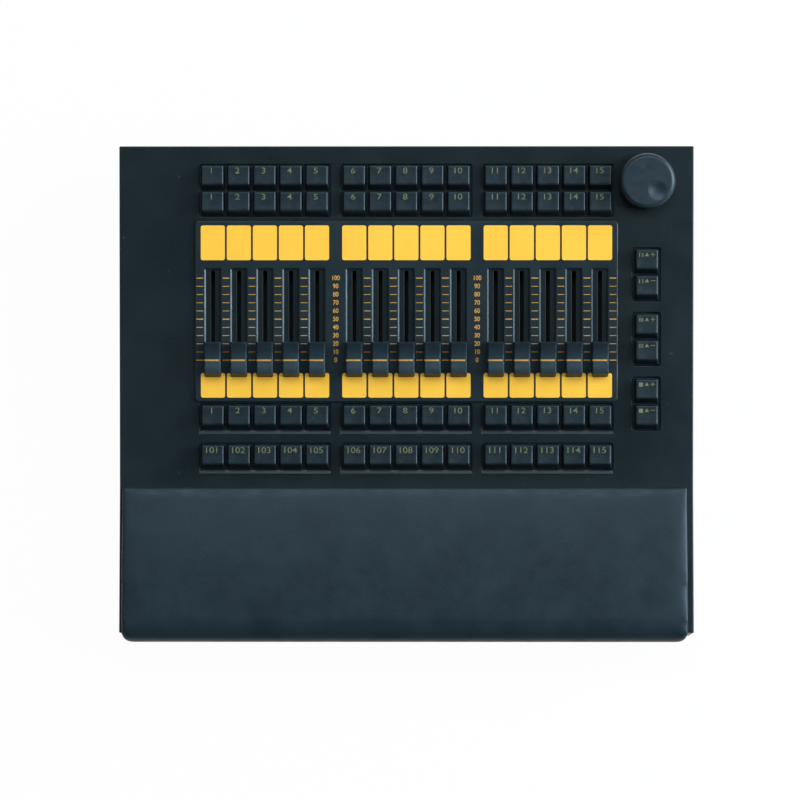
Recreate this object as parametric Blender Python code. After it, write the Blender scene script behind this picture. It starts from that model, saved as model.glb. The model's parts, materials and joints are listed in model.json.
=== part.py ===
"""Lighting fader wing: a sloping desktop panel with fifteen faders in three banks of five, four rows
of keys, three pairs of side keys and an encoder wheel, behind a moulded wrist rest.

Metres, +Z up, +X right, +Y to the rear. The origin is under the middle of the case, on the table.
Places on the control panel are given as (x, s): s runs down the slope from the panel's rear edge.
"""

import math

import bmesh
import bpy
from mathutils import Matrix, Vector

# Clearance between two pieces that touch
GAP = 0.0003

# Key and fader grid
PITCH = 0.01905
KEYS_IN_BANK = 5
BANK_PITCH = 0.1034
KEY_BASE = 0.0174
KEY_CLEARANCE = 0.0013
KEY_HEIGHT = 0.0068
KEY_SIDE_DRAFT = 0.0009
KEY_REAR_DRAFT = 0.0004
KEY_FRONT_DRAFT = 0.0033
KEY_EDGE = 0.0008
KEY_TRAVEL = 0.0015
WEB_THICKNESS = 0.0015
WEB_DROP = 0.0005
WEB_OVERLAP = 0.0010

# Control panel
PANEL_TILT = math.radians(8.0)
PANEL_SHEET = 0.0020
PANEL_EDGE = 0.0008
PANEL_FLANGE = 0.0080
REAR_MARGIN = 0.0130
OVERLAY_MARGIN = 0.0026
LABEL_SPACE = 0.0414
FADER_TRAVEL = 0.0600
LOWER_LABEL_SPACE = 0.0310
ROW_3_MARGIN = 0.0010
ROW_4_STEP = 0.0290
FRONT_MARGIN = 0.0122
WINDOW_CORNER = 0.0020
LIP_LENGTH = 0.0030
LIP_DEPTH = 0.0012

# Fader overlay, with one channel for each fader
OVERLAY_THICKNESS = 0.0015
OVERLAY_SIDE = 0.0037
OVERLAY_CORNER = 0.0030
OVERLAY_EDGE = 0.0005
CHANNEL_WIDTH = 0.0124
CHANNEL_END = 0.0069

# Fader
CAP_WIDTH = 0.0120
CAP_REAR = 0.0130
CAP_FRONT = 0.0130
CAP_REAR_DRAFT = 0.0005
CAP_FRONT_DRAFT = 0.0032
CAP_HEIGHT = 0.0138
CAP_SADDLE = 0.0040
CAP_LIFT = 0.0005
CAP_EDGE = 0.0011
STEM_WIDTH = 0.0024
STEM_LENGTH = 0.0080
SLOT_SIDE = 0.0003
SLOT_END = 0.0007
CARRIAGE_SIZE = (0.0130, 0.0150, 0.0045)
CARRIAGE_DROP = 0.0018
FRAME_WALL = 0.0015
FRAME_DEPTH = 0.0100
FRAME_END = 0.0090
MOTOR_RADIUS = 0.0065
MOTOR_LENGTH = 0.0260

# Side keys and encoder wheel, in the column right of the overlay
SIDE_COLUMN = 0.0208
SIDE_MARGIN = 0.0345
SIDE_CLEARANCE_X = 0.0018
SIDE_CLEARANCE_S = 0.0016
SIDE_PAIR_STEP = 0.0473
SIDE_FIRST_PAIR = 0.0678
SIDE_PAIRS = 3
WHEEL_PLACE = 0.0261
WHEEL_TOP_RADIUS = 0.0170
WHEEL_RADIUS = 0.0208
WHEEL_HEIGHT = 0.0150
WHEEL_EDGE_WIDTH = 0.0028
WHEEL_EDGE_DROP = 0.0035
WHEEL_LIFT = 0.0006
WHEEL_WALL = 0.0022
WHEEL_TOP_WALL = 0.0055
DIMPLE_RADIUS = 0.0062
DIMPLE_DEPTH = 0.0024
DIMPLE_OFFSET = 0.0100
HUB_RADIUS = 0.0062
SPINDLE_RADIUS = 0.0030
SPINDLE_PLAY = 0.0003
BUSH_WALL = 0.0010
BUSH_RISE = 0.0035
ENCODER_BODY = 0.0140
ENCODER_DEPTH = 0.0110

# Case
REAR_HEIGHT = 0.0880
REST_DEPTH = 0.1066
REST_FALL = 0.0060
CHEEK_WALL = 0.0030
PLATE_WALL = 0.0020
REAR_RECESS = 0.0060
FOOT_HEIGHT = 0.0060
FOOT_RADIUS = 0.0090
FOOT_TAPER = 0.0012
FOOT_INSET = 0.0260
VENT_SIZE = (0.0030, 0.0240)
VENT_STEP = 0.0090
VENT_RISE = 0.0090
VENTS = 8
VENT_ROW_PLACE = 0.0875
VENT_ROUNDING = 0.0010
BASE_VENT_PLACE = 0.1050

# Wrist rest
REST_OVERHANG = 0.0066
REST_LEFT_INSET = 0.0020
REST_RIGHT_INSET = 0.0047
REST_RISE = 0.0045
REST_CROWN = 0.0022
REST_SKIRT = 0.0300
REST_NOSE = 0.0090
REST_FRONT_RISE = 0.0075
REST_CORNER = 0.0060
REST_EDGE = 0.0014
REST_GAP = 0.0005

# Circuit boards and power supply
BOARD_THICKNESS = 0.0016
SWITCH_SIZE = 0.0060
SWITCH_HEIGHT = 0.0030
POST_RADIUS = 0.0015
BOARD_MARGIN = 0.0025
BOARD_LIFT = 0.0060
MAIN_BOARD_SIZE = (0.1900, 0.1000)
MAIN_BOARD_PLACE = (0.0950, -0.0150)
SUPPLY_SIZE = (0.1200, 0.0700, 0.0300)
SUPPLY_PLACE = (-0.1250, 0.0200)

# Sockets in the rear plate
FLANGE_THICKNESS = 0.0015
POWER_PLACE = -0.1450
POWER_FLANGE = (0.0600, 0.0310)
POWER_BODY = (0.0500, 0.0265, 0.0220)
POWER_CAVITY = (0.0246, 0.0168, 0.0170)
POWER_CAVITY_OFFSET = 0.0105
BLADE_SIZE = (0.0020, 0.0040, 0.0140)
BLADE_SPREAD = 0.0070
BLADE_OFFSET = 0.0020
ROCKER_OFFSET = -0.0150
ROCKER_SIZE = (0.0124, 0.0190, 0.0060)
ROCKER_PLAY = 0.0007
ROCKER_TILT = math.radians(7.0)
ROCKER_POCKET = 0.0095
ROCKER_AXIS_DEPTH = 0.0030
USB_PLACE = -0.0500
USB_SHELL = (0.0120, 0.0110, 0.0160)
USB_MOUTH = (0.0084, 0.0078, 0.0100)
USB_TONGUE = (0.0056, 0.0032, 0.0090)
USB_FLANGE = (0.0180, 0.0160)
DMX_FIRST = 0.0500
DMX_STEP = 0.0400
DMX_SOCKETS = 2
DMX_FLANGE = (0.0260, 0.0310)
DMX_BARREL = 0.0118
DMX_BARREL_LENGTH = 0.0200
DMX_GROOVE = (0.0072, 0.0094)
DMX_GROOVE_DEPTH = 0.0120
DMX_PINS = 5
DMX_PIN_RADIUS = 0.0009
DMX_PIN_CIRCLE = 0.0042
DMX_PIN_DEPTH = 0.0080
DMX_SIDES = 24

# Places down the slope, each worked out from the one behind it
HALF_KEY = KEY_BASE / 2 + KEY_CLEARANCE
ROW_1 = REAR_MARGIN + HALF_KEY
ROW_2 = ROW_1 + PITCH
OVERLAY_REAR = ROW_2 + HALF_KEY + OVERLAY_MARGIN
SCALE_TOP = OVERLAY_REAR + LABEL_SPACE
SCALE_ZERO = SCALE_TOP + FADER_TRAVEL
OVERLAY_FRONT = SCALE_ZERO + LOWER_LABEL_SPACE
ROW_3 = OVERLAY_FRONT + ROW_3_MARGIN + HALF_KEY
ROW_4 = ROW_3 + ROW_4_STEP
PANEL_LENGTH = ROW_4 + HALF_KEY + FRONT_MARGIN

# Places across the panel
BANK_CENTRES = (-BANK_PITCH, 0.0, BANK_PITCH)
BANK_NAMES = ("left", "centre", "right")
HALF_GRID = (KEYS_IN_BANK - 1) * PITCH / 2
HALF_WINDOW = HALF_GRID + HALF_KEY
HALF_OVERLAY = BANK_PITCH + KEYS_IN_BANK * PITCH / 2 + OVERLAY_SIDE
SIDE_X = HALF_OVERLAY + SIDE_COLUMN
HALF_WIDTH = SIDE_X + SIDE_MARGIN
SLOT_WIDTH = STEM_WIDTH + 2 * SLOT_SIDE
SLOT_REACH = STEM_LENGTH / 2 + SLOT_END

# Heights over the control panel's top face
OVERLAY_TOP = GAP + OVERLAY_THICKNESS
CAP_BOTTOM = OVERLAY_TOP + CAP_LIFT
WEB_TOP = -PANEL_SHEET - WEB_DROP
WEB_BOTTOM = WEB_TOP - WEB_THICKNESS
BOARD_TOP = WEB_BOTTOM - KEY_TRAVEL - GAP - SWITCH_HEIGHT
FRAME_TOP = -PANEL_SHEET - GAP
CARRIAGE_TOP = FRAME_TOP - CARRIAGE_DROP

# The case in the part's own frame
CASE_DEPTH = PANEL_LENGTH * math.cos(PANEL_TILT) + REST_DEPTH
Y_REAR = (CASE_DEPTH + REST_OVERHANG) / 2
Y_FRONT = Y_REAR - CASE_DEPTH
Y_BEND = Y_FRONT + REST_DEPTH
BEND_HEIGHT = REAR_HEIGHT - PANEL_LENGTH * math.sin(PANEL_TILT)
FRONT_HEIGHT = BEND_HEIGHT - REST_FALL
BASE_TOP = FOOT_HEIGHT + PLATE_WALL
HALF_INSIDE = HALF_WIDTH - CHEEK_WALL - GAP
Y_PLATE = Y_REAR - REAR_RECESS
PLATE_DROP = (REAR_RECESS + PLATE_WALL) * math.tan(PANEL_TILT) + PANEL_SHEET / math.cos(PANEL_TILT)
PLATE_TOP = REAR_HEIGHT - PLATE_DROP - GAP
SOCKET_HEIGHT = (BASE_TOP + PLATE_TOP) / 2


def srgb(red, green, blue):
    """A colour given in 8-bit screen values, as the linear values that a shader takes."""
    screen = [value / 255 for value in (red, green, blue)]
    return [v / 12.92 if v < 0.04045 else ((v + 0.055) / 1.055) ** 2.4 for v in screen] + [1.0]


def make_material(name, colour, roughness, metallic=0.0):
    material = bpy.data.materials.new(name)
    material.use_nodes = True
    shader = material.node_tree.nodes["Principled BSDF"]
    shader.inputs["Base Color"].default_value = colour
    shader.inputs["Roughness"].default_value = roughness
    shader.inputs["Metallic"].default_value = metallic
    return material


def place_object(name, mesh, material, parent=None, location=(0, 0, 0)):
    """A named sub-part made from a finished mesh."""
    obj = bpy.data.objects.new(name, mesh)
    bpy.context.scene.collection.objects.link(obj)
    mesh.materials.clear()
    mesh.materials.append(material)
    obj.parent = parent
    obj.location = location
    return obj


def new_object(name, bm, material, parent=None, location=(0, 0, 0)):
    """A named sub-part made from a bmesh, which is freed."""
    bmesh.ops.recalc_face_normals(bm, faces=bm.faces)
    mesh = bpy.data.meshes.new(name)
    bm.to_mesh(mesh)
    bm.free()
    return place_object(name, mesh, material, parent, location)


def smooth(obj, degrees=35):
    obj.data.shade_smooth()
    obj.data.set_sharp_from_angle(angle=math.radians(degrees))


def add_box(bm, low, high):
    """A box between two corners."""
    size = [b - a for a, b in zip(low, high)]
    middle = [(a + b) / 2 for a, b in zip(low, high)]
    place = Matrix.Translation(middle) @ Matrix.Diagonal((*size, 1))
    bmesh.ops.create_cube(bm, size=1, matrix=place)


def add_prism(bm, outline, low, high, axis):
    """A closed outline of (a, b) points extruded from low to high along an axis, 0, 1 or 2."""
    rest = [i for i in range(3) if i != axis]
    rings = []
    for level in (low, high):
        ring = []
        for point in outline:
            place = [level] * 3
            place[rest[0]], place[rest[1]] = point
            ring.append(bm.verts.new(place))
        rings.append(ring)
    bm.faces.new(rings[0])
    bm.faces.new(rings[1])
    for i in range(len(outline)):
        following = (i + 1) % len(outline)
        bm.faces.new((rings[0][i], rings[0][following], rings[1][following], rings[1][i]))


def rounded_rectangle(low, high, radius, steps=2):
    """The outline of a rectangle between two corners, with round corners."""
    centres = (
        (high[0] - radius, high[1] - radius),
        (low[0] + radius, high[1] - radius),
        (low[0] + radius, low[1] + radius),
        (high[0] - radius, low[1] + radius),
    )
    outline = []
    for quarter, centre in enumerate(centres):
        for step in range(steps + 1):
            angle = math.pi / 2 * (quarter + step / steps)
            outline.append((centre[0] + radius * math.cos(angle), centre[1] + radius * math.sin(angle)))
    return outline


def circle(centre, radius, sides, start=0.0):
    angles = [start + 2 * math.pi * i / sides for i in range(sides)]
    return [(centre[0] + radius * math.cos(a), centre[1] + radius * math.sin(a)) for a in angles]


def add_turned(bm, profile, sides, matrix=None):
    """A closed solid turned about Z from (radius, height) points that start and end on the axis."""
    rings = []
    for radius, height in profile:
        if radius == 0:
            rings.append([bm.verts.new((0, 0, height))])
            continue
        rings.append([bm.verts.new((x, y, height)) for x, y in circle((0, 0), radius, sides)])
    made = [vert for ring in rings for vert in ring]
    for first, second in zip(rings, rings[1:]):
        for i in range(sides):
            j = (i + 1) % sides
            corners = [first[i % len(first)], first[j % len(first)], second[j % len(second)]]
            corners.append(second[i % len(second)])
            bm.faces.new(list(dict.fromkeys(corners)))
    if matrix is not None:
        bmesh.ops.transform(bm, matrix=matrix, verts=made)


def add_bevel(obj, width, segments, degrees=30):
    bevel = obj.modifiers.new("Bevel", "BEVEL")
    bevel.width = width
    bevel.segments = segments
    bevel.limit_method = "ANGLE"
    bevel.angle_limit = math.radians(degrees)


def combine(obj, other, operation):
    """A Boolean with a helper object, which is left out of the model."""
    modifier = obj.modifiers.new(other.name, "BOOLEAN")
    modifier.operation = operation
    modifier.solver = "EXACT"
    modifier.object = other
    other.hide_render = True
    other.display_type = "WIRE"


def baked_mesh(obj):
    """The mesh of an object with its modifiers applied, for several copies to share."""
    graph = bpy.context.evaluated_depsgraph_get()
    mesh = bpy.data.meshes.new_from_object(obj.evaluated_get(graph))
    mesh.name = obj.name
    for modifier in list(obj.modifiers):
        helper = modifier.object if modifier.type == "BOOLEAN" else None
        if helper:
            bpy.data.objects.remove(helper)
    bpy.data.objects.remove(obj)
    return mesh


def offset_path(points, distance):
    """An open path of (y, z) points moved sideways by a distance, to its left, with mitred corners."""
    moved = []
    for i, point in enumerate(points):
        sides = []
        for a, b in ((i - 1, i), (i, i + 1)):
            if 0 <= a and b < len(points):
                run = (Vector(points[b]) - Vector(points[a])).normalized()
                sides.append(Vector((-run.y, run.x)))
        mitre = sum(sides, Vector((0, 0))).normalized()
        moved.append(tuple(Vector(point) + mitre * distance / mitre.dot(sides[0])))
    return moved


def fader_places():
    """The x of each of the faders, bank by bank."""
    return [bank + (i - (KEYS_IN_BANK - 1) / 2) * PITCH for bank in BANK_CENTRES for i in range(KEYS_IN_BANK)]


def side_key_places():
    """The s of each side key, from the rear."""
    first = SIDE_FIRST_PAIR + WHEEL_PLACE
    pairs = [first + pair * SIDE_PAIR_STEP for pair in range(SIDE_PAIRS)]
    return [pair + side * PITCH / 2 for pair in pairs for side in (-1, 1)]


def panel_underside(y):
    """The height of the control panel's underside above a point of the table."""
    sheet = PANEL_SHEET / math.cos(PANEL_TILT)
    if y >= Y_BEND:
        return REAR_HEIGHT - (Y_REAR - y) * math.tan(PANEL_TILT) - sheet
    return BEND_HEIGHT - (Y_BEND - y) * REST_FALL / REST_DEPTH - sheet


def make_control_panel(datum, material):
    """A bent sheet: the slope, a flatter part under the wrist rest, and a flange down at each end.

    The front edges of the two front rows of key windows are pressed down into lips.
    """
    path = [
        (Y_REAR, REAR_HEIGHT - PANEL_FLANGE),
        (Y_REAR, REAR_HEIGHT),
        (Y_BEND, BEND_HEIGHT),
        (Y_FRONT, FRONT_HEIGHT),
        (Y_FRONT, FRONT_HEIGHT - PANEL_FLANGE),
    ]
    outline = path + offset_path(path, PANEL_SHEET)[::-1]
    bm = bmesh.new()
    add_prism(bm, outline, -HALF_WIDTH, HALF_WIDTH, 0)
    panel = new_object("control_panel", bm, material)
    add_bevel(panel, PANEL_EDGE, 2)

    low, high = -2 * PANEL_SHEET, PANEL_SHEET
    bm = bmesh.new()
    for bank in BANK_CENTRES:
        for rear, front in ((ROW_1, ROW_2), (ROW_3, ROW_3), (ROW_4, ROW_4)):
            window = rounded_rectangle(
                (bank - HALF_WINDOW, -front - HALF_KEY), (bank + HALF_WINDOW, -rear + HALF_KEY), WINDOW_CORNER
            )
            add_prism(bm, window, low, high, 2)
    for x in fader_places():
        slot = rounded_rectangle(
            (x - SLOT_WIDTH / 2, -SCALE_ZERO - SLOT_REACH),
            (x + SLOT_WIDTH / 2, -SCALE_TOP + SLOT_REACH),
            SLOT_WIDTH / 3,
            1,
        )
        add_prism(bm, slot, low, high, 2)
    keys = side_key_places()
    for rear, front in zip(keys[::2], keys[1::2]):
        half = KEY_BASE / 2
        window = rounded_rectangle(
            (SIDE_X - half - SIDE_CLEARANCE_X, -front - half - SIDE_CLEARANCE_S),
            (SIDE_X + half + SIDE_CLEARANCE_X, -rear + half + SIDE_CLEARANCE_S),
            WINDOW_CORNER,
        )
        add_prism(bm, window, low, high, 2)
    hole = SPINDLE_RADIUS + SPINDLE_PLAY + BUSH_WALL + GAP
    add_prism(bm, circle((SIDE_X, -WHEEL_PLACE), hole, 24), low, high, 2)
    combine(panel, new_object("panel_cutouts", bm, material, datum), "DIFFERENCE")

    bm = bmesh.new()
    for bank in BANK_CENTRES:
        for row in (ROW_3, ROW_4):
            edge = -row - HALF_KEY
            ramp = [
                (edge + GAP, -LIP_DEPTH),
                (edge, -LIP_DEPTH),
                (edge - LIP_LENGTH, 0),
                (edge - LIP_LENGTH, PANEL_SHEET),
                (edge + GAP, PANEL_SHEET),
            ]
            add_prism(bm, ramp, bank - HALF_WINDOW, bank + HALF_WINDOW, 0)
    combine(panel, new_object("window_lips", bm, material, datum), "DIFFERENCE")
    return panel


def make_overlay(datum, material):
    """The raised plate round the faders, with a channel along each of them."""
    bm = bmesh.new()
    plate = rounded_rectangle((-HALF_OVERLAY, -OVERLAY_FRONT), (HALF_OVERLAY, -OVERLAY_REAR), OVERLAY_CORNER, 4)
    add_prism(bm, plate, GAP, OVERLAY_TOP, 2)
    overlay = new_object("fader_overlay", bm, material, datum)
    add_bevel(overlay, OVERLAY_EDGE, 1, 60)
    bm = bmesh.new()
    for x in fader_places():
        channel = rounded_rectangle(
            (x - CHANNEL_WIDTH / 2, -SCALE_ZERO - CHANNEL_END),
            (x + CHANNEL_WIDTH / 2, -SCALE_TOP + CHANNEL_END),
            WINDOW_CORNER / 2,
            1,
        )
        add_prism(bm, channel, -OVERLAY_TOP, 2 * OVERLAY_TOP, 2)
    combine(overlay, new_object("overlay_channels", bm, material, datum), "DIFFERENCE")
    return overlay


def cap_outline():
    """The side view of a fader cap: a steep rear, a sloping front and a hollow top for the finger."""
    rear, front = CAP_REAR - CAP_REAR_DRAFT, CAP_FRONT - CAP_FRONT_DRAFT
    steps = 8
    top = []
    for step in range(steps + 1):
        along = 1 - 2 * step / steps
        reach = rear if along > 0 else front
        top.append((along * reach, CAP_HEIGHT - CAP_SADDLE * (1 - along * along)))
    return [(-CAP_FRONT, CAP_BOTTOM), (CAP_REAR, CAP_BOTTOM)] + top


def make_faders(datum, material):
    """Fifteen faders, each a cap on a blade that runs through the slot to a carriage, set at zero."""
    bm = bmesh.new()
    add_prism(bm, cap_outline(), -CAP_WIDTH / 2, CAP_WIDTH / 2, 0)
    cap = new_object("fader", bm, material)
    add_bevel(cap, CAP_EDGE, 1, 40)
    sink = CAP_EDGE
    carriage_bottom = CARRIAGE_TOP - CARRIAGE_SIZE[2]
    bm = bmesh.new()
    add_box(
        bm,
        (-STEM_WIDTH / 2, -STEM_LENGTH / 2, CARRIAGE_TOP - sink),
        (STEM_WIDTH / 2, STEM_LENGTH / 2, CAP_BOTTOM + sink),
    )
    combine(cap, new_object("blade", bm, material), "UNION")
    bm = bmesh.new()
    add_box(
        bm,
        (-CARRIAGE_SIZE[0] / 2, -CARRIAGE_SIZE[1] / 2, carriage_bottom),
        (CARRIAGE_SIZE[0] / 2, CARRIAGE_SIZE[1] / 2, CARRIAGE_TOP),
    )
    combine(cap, new_object("carriage", bm, material), "UNION")
    mesh = baked_mesh(cap)
    for number, x in enumerate(fader_places(), 1):
        place_object(f"fader_{number:02d}", mesh, material, datum, (x, -SCALE_ZERO, 0))


def add_key_cap(bm, x, bottom):
    """A key cap with a straight skirt, a steep back and a sloping front, with rounded edges."""
    half = KEY_BASE / 2
    levels = (
        (bottom, half, half, half),
        (0.0, half, half, half),
        (KEY_HEIGHT, half - KEY_SIDE_DRAFT, half - KEY_FRONT_DRAFT, half - KEY_REAR_DRAFT),
    )
    rings = []
    for height, side, front, rear in levels:
        corners = ((-side, -front), (side, -front), (side, rear), (-side, rear))
        rings.append([bm.verts.new((x + cx, cy, height)) for cx, cy in corners])
    bm.faces.new(rings[0][::-1])
    for lower, upper in zip(rings, rings[1:]):
        for i in range(4):
            j = (i + 1) % 4
            bm.faces.new((lower[i], lower[j], upper[j], upper[i]))
    top = bm.faces.new(rings[2])
    edges = list(top.edges) + [edge for vert in rings[2] for edge in vert.link_edges if edge not in top.edges]
    bmesh.ops.bevel(
        bm, geom=edges, offset=KEY_EDGE, segments=1, profile=0.5, affect="EDGES", offset_type="OFFSET"
    )


def make_key_mesh(name, places, half_web, material):
    """Key caps in a row on one web, which lies under the panel and stops them at the top."""
    bm = bmesh.new()
    half_length = (PITCH - GAP) / 2
    add_box(bm, (-half_web, -half_length, WEB_BOTTOM), (half_web, half_length, WEB_TOP))
    web = new_object(name, bm, material)
    bm = bmesh.new()
    for x in places:
        add_key_cap(bm, x, (WEB_TOP + WEB_BOTTOM) / 2)
    combine(web, new_object(name + "_caps", bm, material), "UNION")
    return baked_mesh(web)


def make_keys(datum, material):
    """Four rows of keys in banks of five, and three pairs of single keys beside them."""
    places = [(i - (KEYS_IN_BANK - 1) / 2) * PITCH for i in range(KEYS_IN_BANK)]
    bank_mesh = make_key_mesh("key_bank", places, HALF_WINDOW + WEB_OVERLAP, material)
    for number, row in enumerate((ROW_1, ROW_2, ROW_3, ROW_4), 1):
        for side, bank in zip(BANK_NAMES, BANK_CENTRES):
            place_object(f"keys_row_{number}_{side}", bank_mesh, material, datum, (bank, -row, 0))
    half_web = KEY_BASE / 2 + SIDE_CLEARANCE_X + WEB_OVERLAP
    single_mesh = make_key_mesh("single_key", [0.0], half_web, material)
    for number, place in enumerate(side_key_places(), 1):
        place_object(f"side_key_{number}", single_mesh, material, datum, (SIDE_X, -place, 0))


def make_encoder(datum, knob_material, metal):
    """The encoder wheel with its spindle and finger dimple, and the encoder that it turns in."""
    top = WHEEL_LIFT + WHEEL_HEIGHT
    inside_top = top - WHEEL_TOP_WALL
    hub_bottom = BUSH_RISE + WHEEL_LIFT
    spindle_end = FRAME_TOP - ENCODER_DEPTH + PLATE_WALL
    edge = []
    steps = 4
    for step in range(steps + 1):
        angle = math.pi / 2 * step / steps
        radius = WHEEL_TOP_RADIUS + WHEEL_EDGE_WIDTH * math.sin(angle)
        edge.append((radius, top - WHEEL_EDGE_DROP * (1 - math.cos(angle))))
    profile = [(0, top)] + edge + [
        (WHEEL_RADIUS, WHEEL_LIFT),
        (WHEEL_RADIUS - WHEEL_WALL, WHEEL_LIFT),
        (WHEEL_TOP_RADIUS - WHEEL_WALL / 2, inside_top),
        (HUB_RADIUS, inside_top),
        (HUB_RADIUS, hub_bottom),
        (SPINDLE_RADIUS, hub_bottom),
        (SPINDLE_RADIUS, spindle_end),
        (0, spindle_end),
    ]
    bm = bmesh.new()
    add_turned(bm, profile, 40)
    wheel = new_object("encoder_wheel", bm, knob_material, datum, (SIDE_X, -WHEEL_PLACE, 0))
    ball = (DIMPLE_RADIUS**2 + DIMPLE_DEPTH**2) / (2 * DIMPLE_DEPTH)
    bm = bmesh.new()
    bmesh.ops.create_uvsphere(bm, u_segments=24, v_segments=16, radius=ball)
    corner = DIMPLE_OFFSET / math.sqrt(2)
    place = (SIDE_X + corner, -WHEEL_PLACE - corner, top + ball - DIMPLE_DEPTH)
    combine(wheel, new_object("dimple_ball", bm, knob_material, datum, place), "DIFFERENCE")
    smooth(wheel)

    bore = SPINDLE_RADIUS + SPINDLE_PLAY
    half = ENCODER_BODY / 2
    bottom = FRAME_TOP - ENCODER_DEPTH
    bm = bmesh.new()
    add_box(bm, (-half, -half, bottom), (half, half, FRAME_TOP))
    body = new_object("encoder_body", bm, metal, datum, (SIDE_X, -WHEEL_PLACE, 0))
    bm = bmesh.new()
    add_prism(bm, circle((0, 0), bore + BUSH_WALL, 24), FRAME_TOP - PLATE_WALL, BUSH_RISE, 2)
    combine(body, new_object("bush", bm, metal, datum, (SIDE_X, -WHEEL_PLACE, 0)), "UNION")
    bm = bmesh.new()
    add_prism(bm, circle((0, 0), bore, 24), spindle_end - GAP, 2 * BUSH_RISE, 2)
    combine(body, new_object("spindle_bore", bm, metal, datum, (SIDE_X, -WHEEL_PLACE, 0)), "DIFFERENCE")


def make_fader_frames(datum, material):
    """Three die-cast frames, each with five troughs for the carriages and five motors under them."""
    half = KEYS_IN_BANK * PITCH / 2 - GAP
    rear = -SCALE_TOP + FRAME_END + CARRIAGE_SIZE[1] / 2
    front = -SCALE_ZERO - FRAME_END - CARRIAGE_SIZE[1] / 2
    floor = FRAME_TOP - FRAME_DEPTH
    bottom = floor - FRAME_WALL
    for name, bank in zip(BANK_NAMES, BANK_CENTRES):
        bm = bmesh.new()
        add_box(bm, (-half, front, bottom), (half, rear, FRAME_TOP))
        frame = new_object(f"fader_frame_{name}", bm, material, datum, (bank, 0, 0))
        bm = bmesh.new()
        for i in range(KEYS_IN_BANK):
            x = (i - (KEYS_IN_BANK - 1) / 2) * PITCH
            reach = (PITCH - FRAME_WALL) / 2
            add_box(
                bm,
                (x - reach, front + FRAME_WALL, floor),
                (x + reach, rear - FRAME_WALL, -FRAME_TOP),
            )
        troughs = new_object(f"troughs_{name}", bm, material, datum, (bank, 0, 0))
        combine(frame, troughs, "DIFFERENCE")
        bm = bmesh.new()
        for i in range(KEYS_IN_BANK):
            x = (i - (KEYS_IN_BANK - 1) / 2) * PITCH
            motor = circle((x, bottom - MOTOR_RADIUS + FRAME_WALL / 2), MOTOR_RADIUS, 16, math.pi / 16)
            add_prism(bm, motor, rear - FRAME_WALL - MOTOR_LENGTH, rear - FRAME_WALL, 1)
        motors = new_object(f"motors_{name}", bm, material, datum, (bank, 0, 0))
        combine(frame, motors, "UNION")


def make_key_board(name, datum, material, keys, posts):
    """A circuit board under some keys, with a switch for each key and posts up to the panel."""
    half = KEY_BASE / 2 + BOARD_MARGIN
    xs = [x for x, s in keys + posts]
    rows = [s for x, s in keys + posts]
    bm = bmesh.new()
    add_box(
        bm,
        (min(xs) - BOARD_MARGIN, -max(rows) - half, BOARD_TOP - BOARD_THICKNESS),
        (max(xs) + BOARD_MARGIN, -min(rows) + half, BOARD_TOP),
    )
    board = new_object(name, bm, material, datum)
    root = BOARD_TOP - BOARD_THICKNESS / 2
    bm = bmesh.new()
    for x, s in keys:
        reach = SWITCH_SIZE / 2
        add_box(bm, (x - reach, -s - reach, root), (x + reach, -s + reach, BOARD_TOP + SWITCH_HEIGHT))
    for x, s in posts:
        add_prism(bm, circle((x, -s), POST_RADIUS, 8), root, FRAME_TOP, 2)
    combine(board, new_object(name + "_fittings", bm, material, datum), "UNION")


def make_key_boards(datum, material):
    between = BANK_PITCH / 2
    outer = BANK_PITCH + HALF_WINDOW + WEB_OVERLAP + BOARD_MARGIN
    post_columns = (-outer, -between, between, outer)
    for name, rear, front in (("upper_key_board", ROW_1, ROW_2), ("lower_key_board", ROW_3, ROW_4)):
        keys = [(x, s) for s in (rear, front) for x in fader_places()]
        posts = [(x, s) for s in (rear, front) for x in post_columns]
        make_key_board(name, datum, material, keys, posts)
    keys = [(SIDE_X, s) for s in side_key_places()]
    reach = KEY_BASE / 2 + SIDE_CLEARANCE_X + WEB_OVERLAP + BOARD_MARGIN
    ends = (keys[0][1], keys[-1][1])
    posts = [(SIDE_X + side * reach, s) for s in ends for side in (-1, 1)]
    make_key_board("side_key_board", datum, material, keys, posts)


def make_side_cheeks(material):
    """The two side walls of the case, cut to the panel's slope, with a row of vent slots."""
    flange = PANEL_FLANGE + GAP
    inner = PANEL_SHEET + GAP
    y_rear, y_front = Y_REAR - inner, Y_FRONT + inner
    outline = [
        (Y_FRONT, FOOT_HEIGHT),
        (Y_REAR, FOOT_HEIGHT),
        (Y_REAR, REAR_HEIGHT - flange),
        (y_rear, REAR_HEIGHT - flange),
        (y_rear, panel_underside(y_rear) - GAP),
        (Y_BEND, panel_underside(Y_BEND) - GAP),
        (y_front, panel_underside(y_front) - GAP),
        (y_front, FRONT_HEIGHT - flange),
        (Y_FRONT, FRONT_HEIGHT - flange),
    ]
    for name, side in (("side_cheek_left", -1), ("side_cheek_right", 1)):
        low, high = sorted((side * HALF_WIDTH, side * (HALF_WIDTH - CHEEK_WALL)))
        bm = bmesh.new()
        add_prism(bm, outline, low, high, 0)
        cheek = new_object(name, bm, material)
        add_bevel(cheek, PANEL_EDGE, 1, 60)
        bm = bmesh.new()
        for i in range(VENTS):
            y = Y_REAR - VENT_ROW_PLACE + (i - VENTS / 2) * VENT_STEP
            low_end = (y - VENT_SIZE[0] / 2, BASE_TOP + VENT_RISE)
            high_end = (y + VENT_SIZE[0] / 2, BASE_TOP + VENT_RISE + VENT_SIZE[1])
            slot = rounded_rectangle(low_end, high_end, VENT_ROUNDING, 1)
            add_prism(bm, slot, low - CHEEK_WALL, high + CHEEK_WALL, 0)
        combine(cheek, new_object(name + "_vents", bm, material), "DIFFERENCE")


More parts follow.
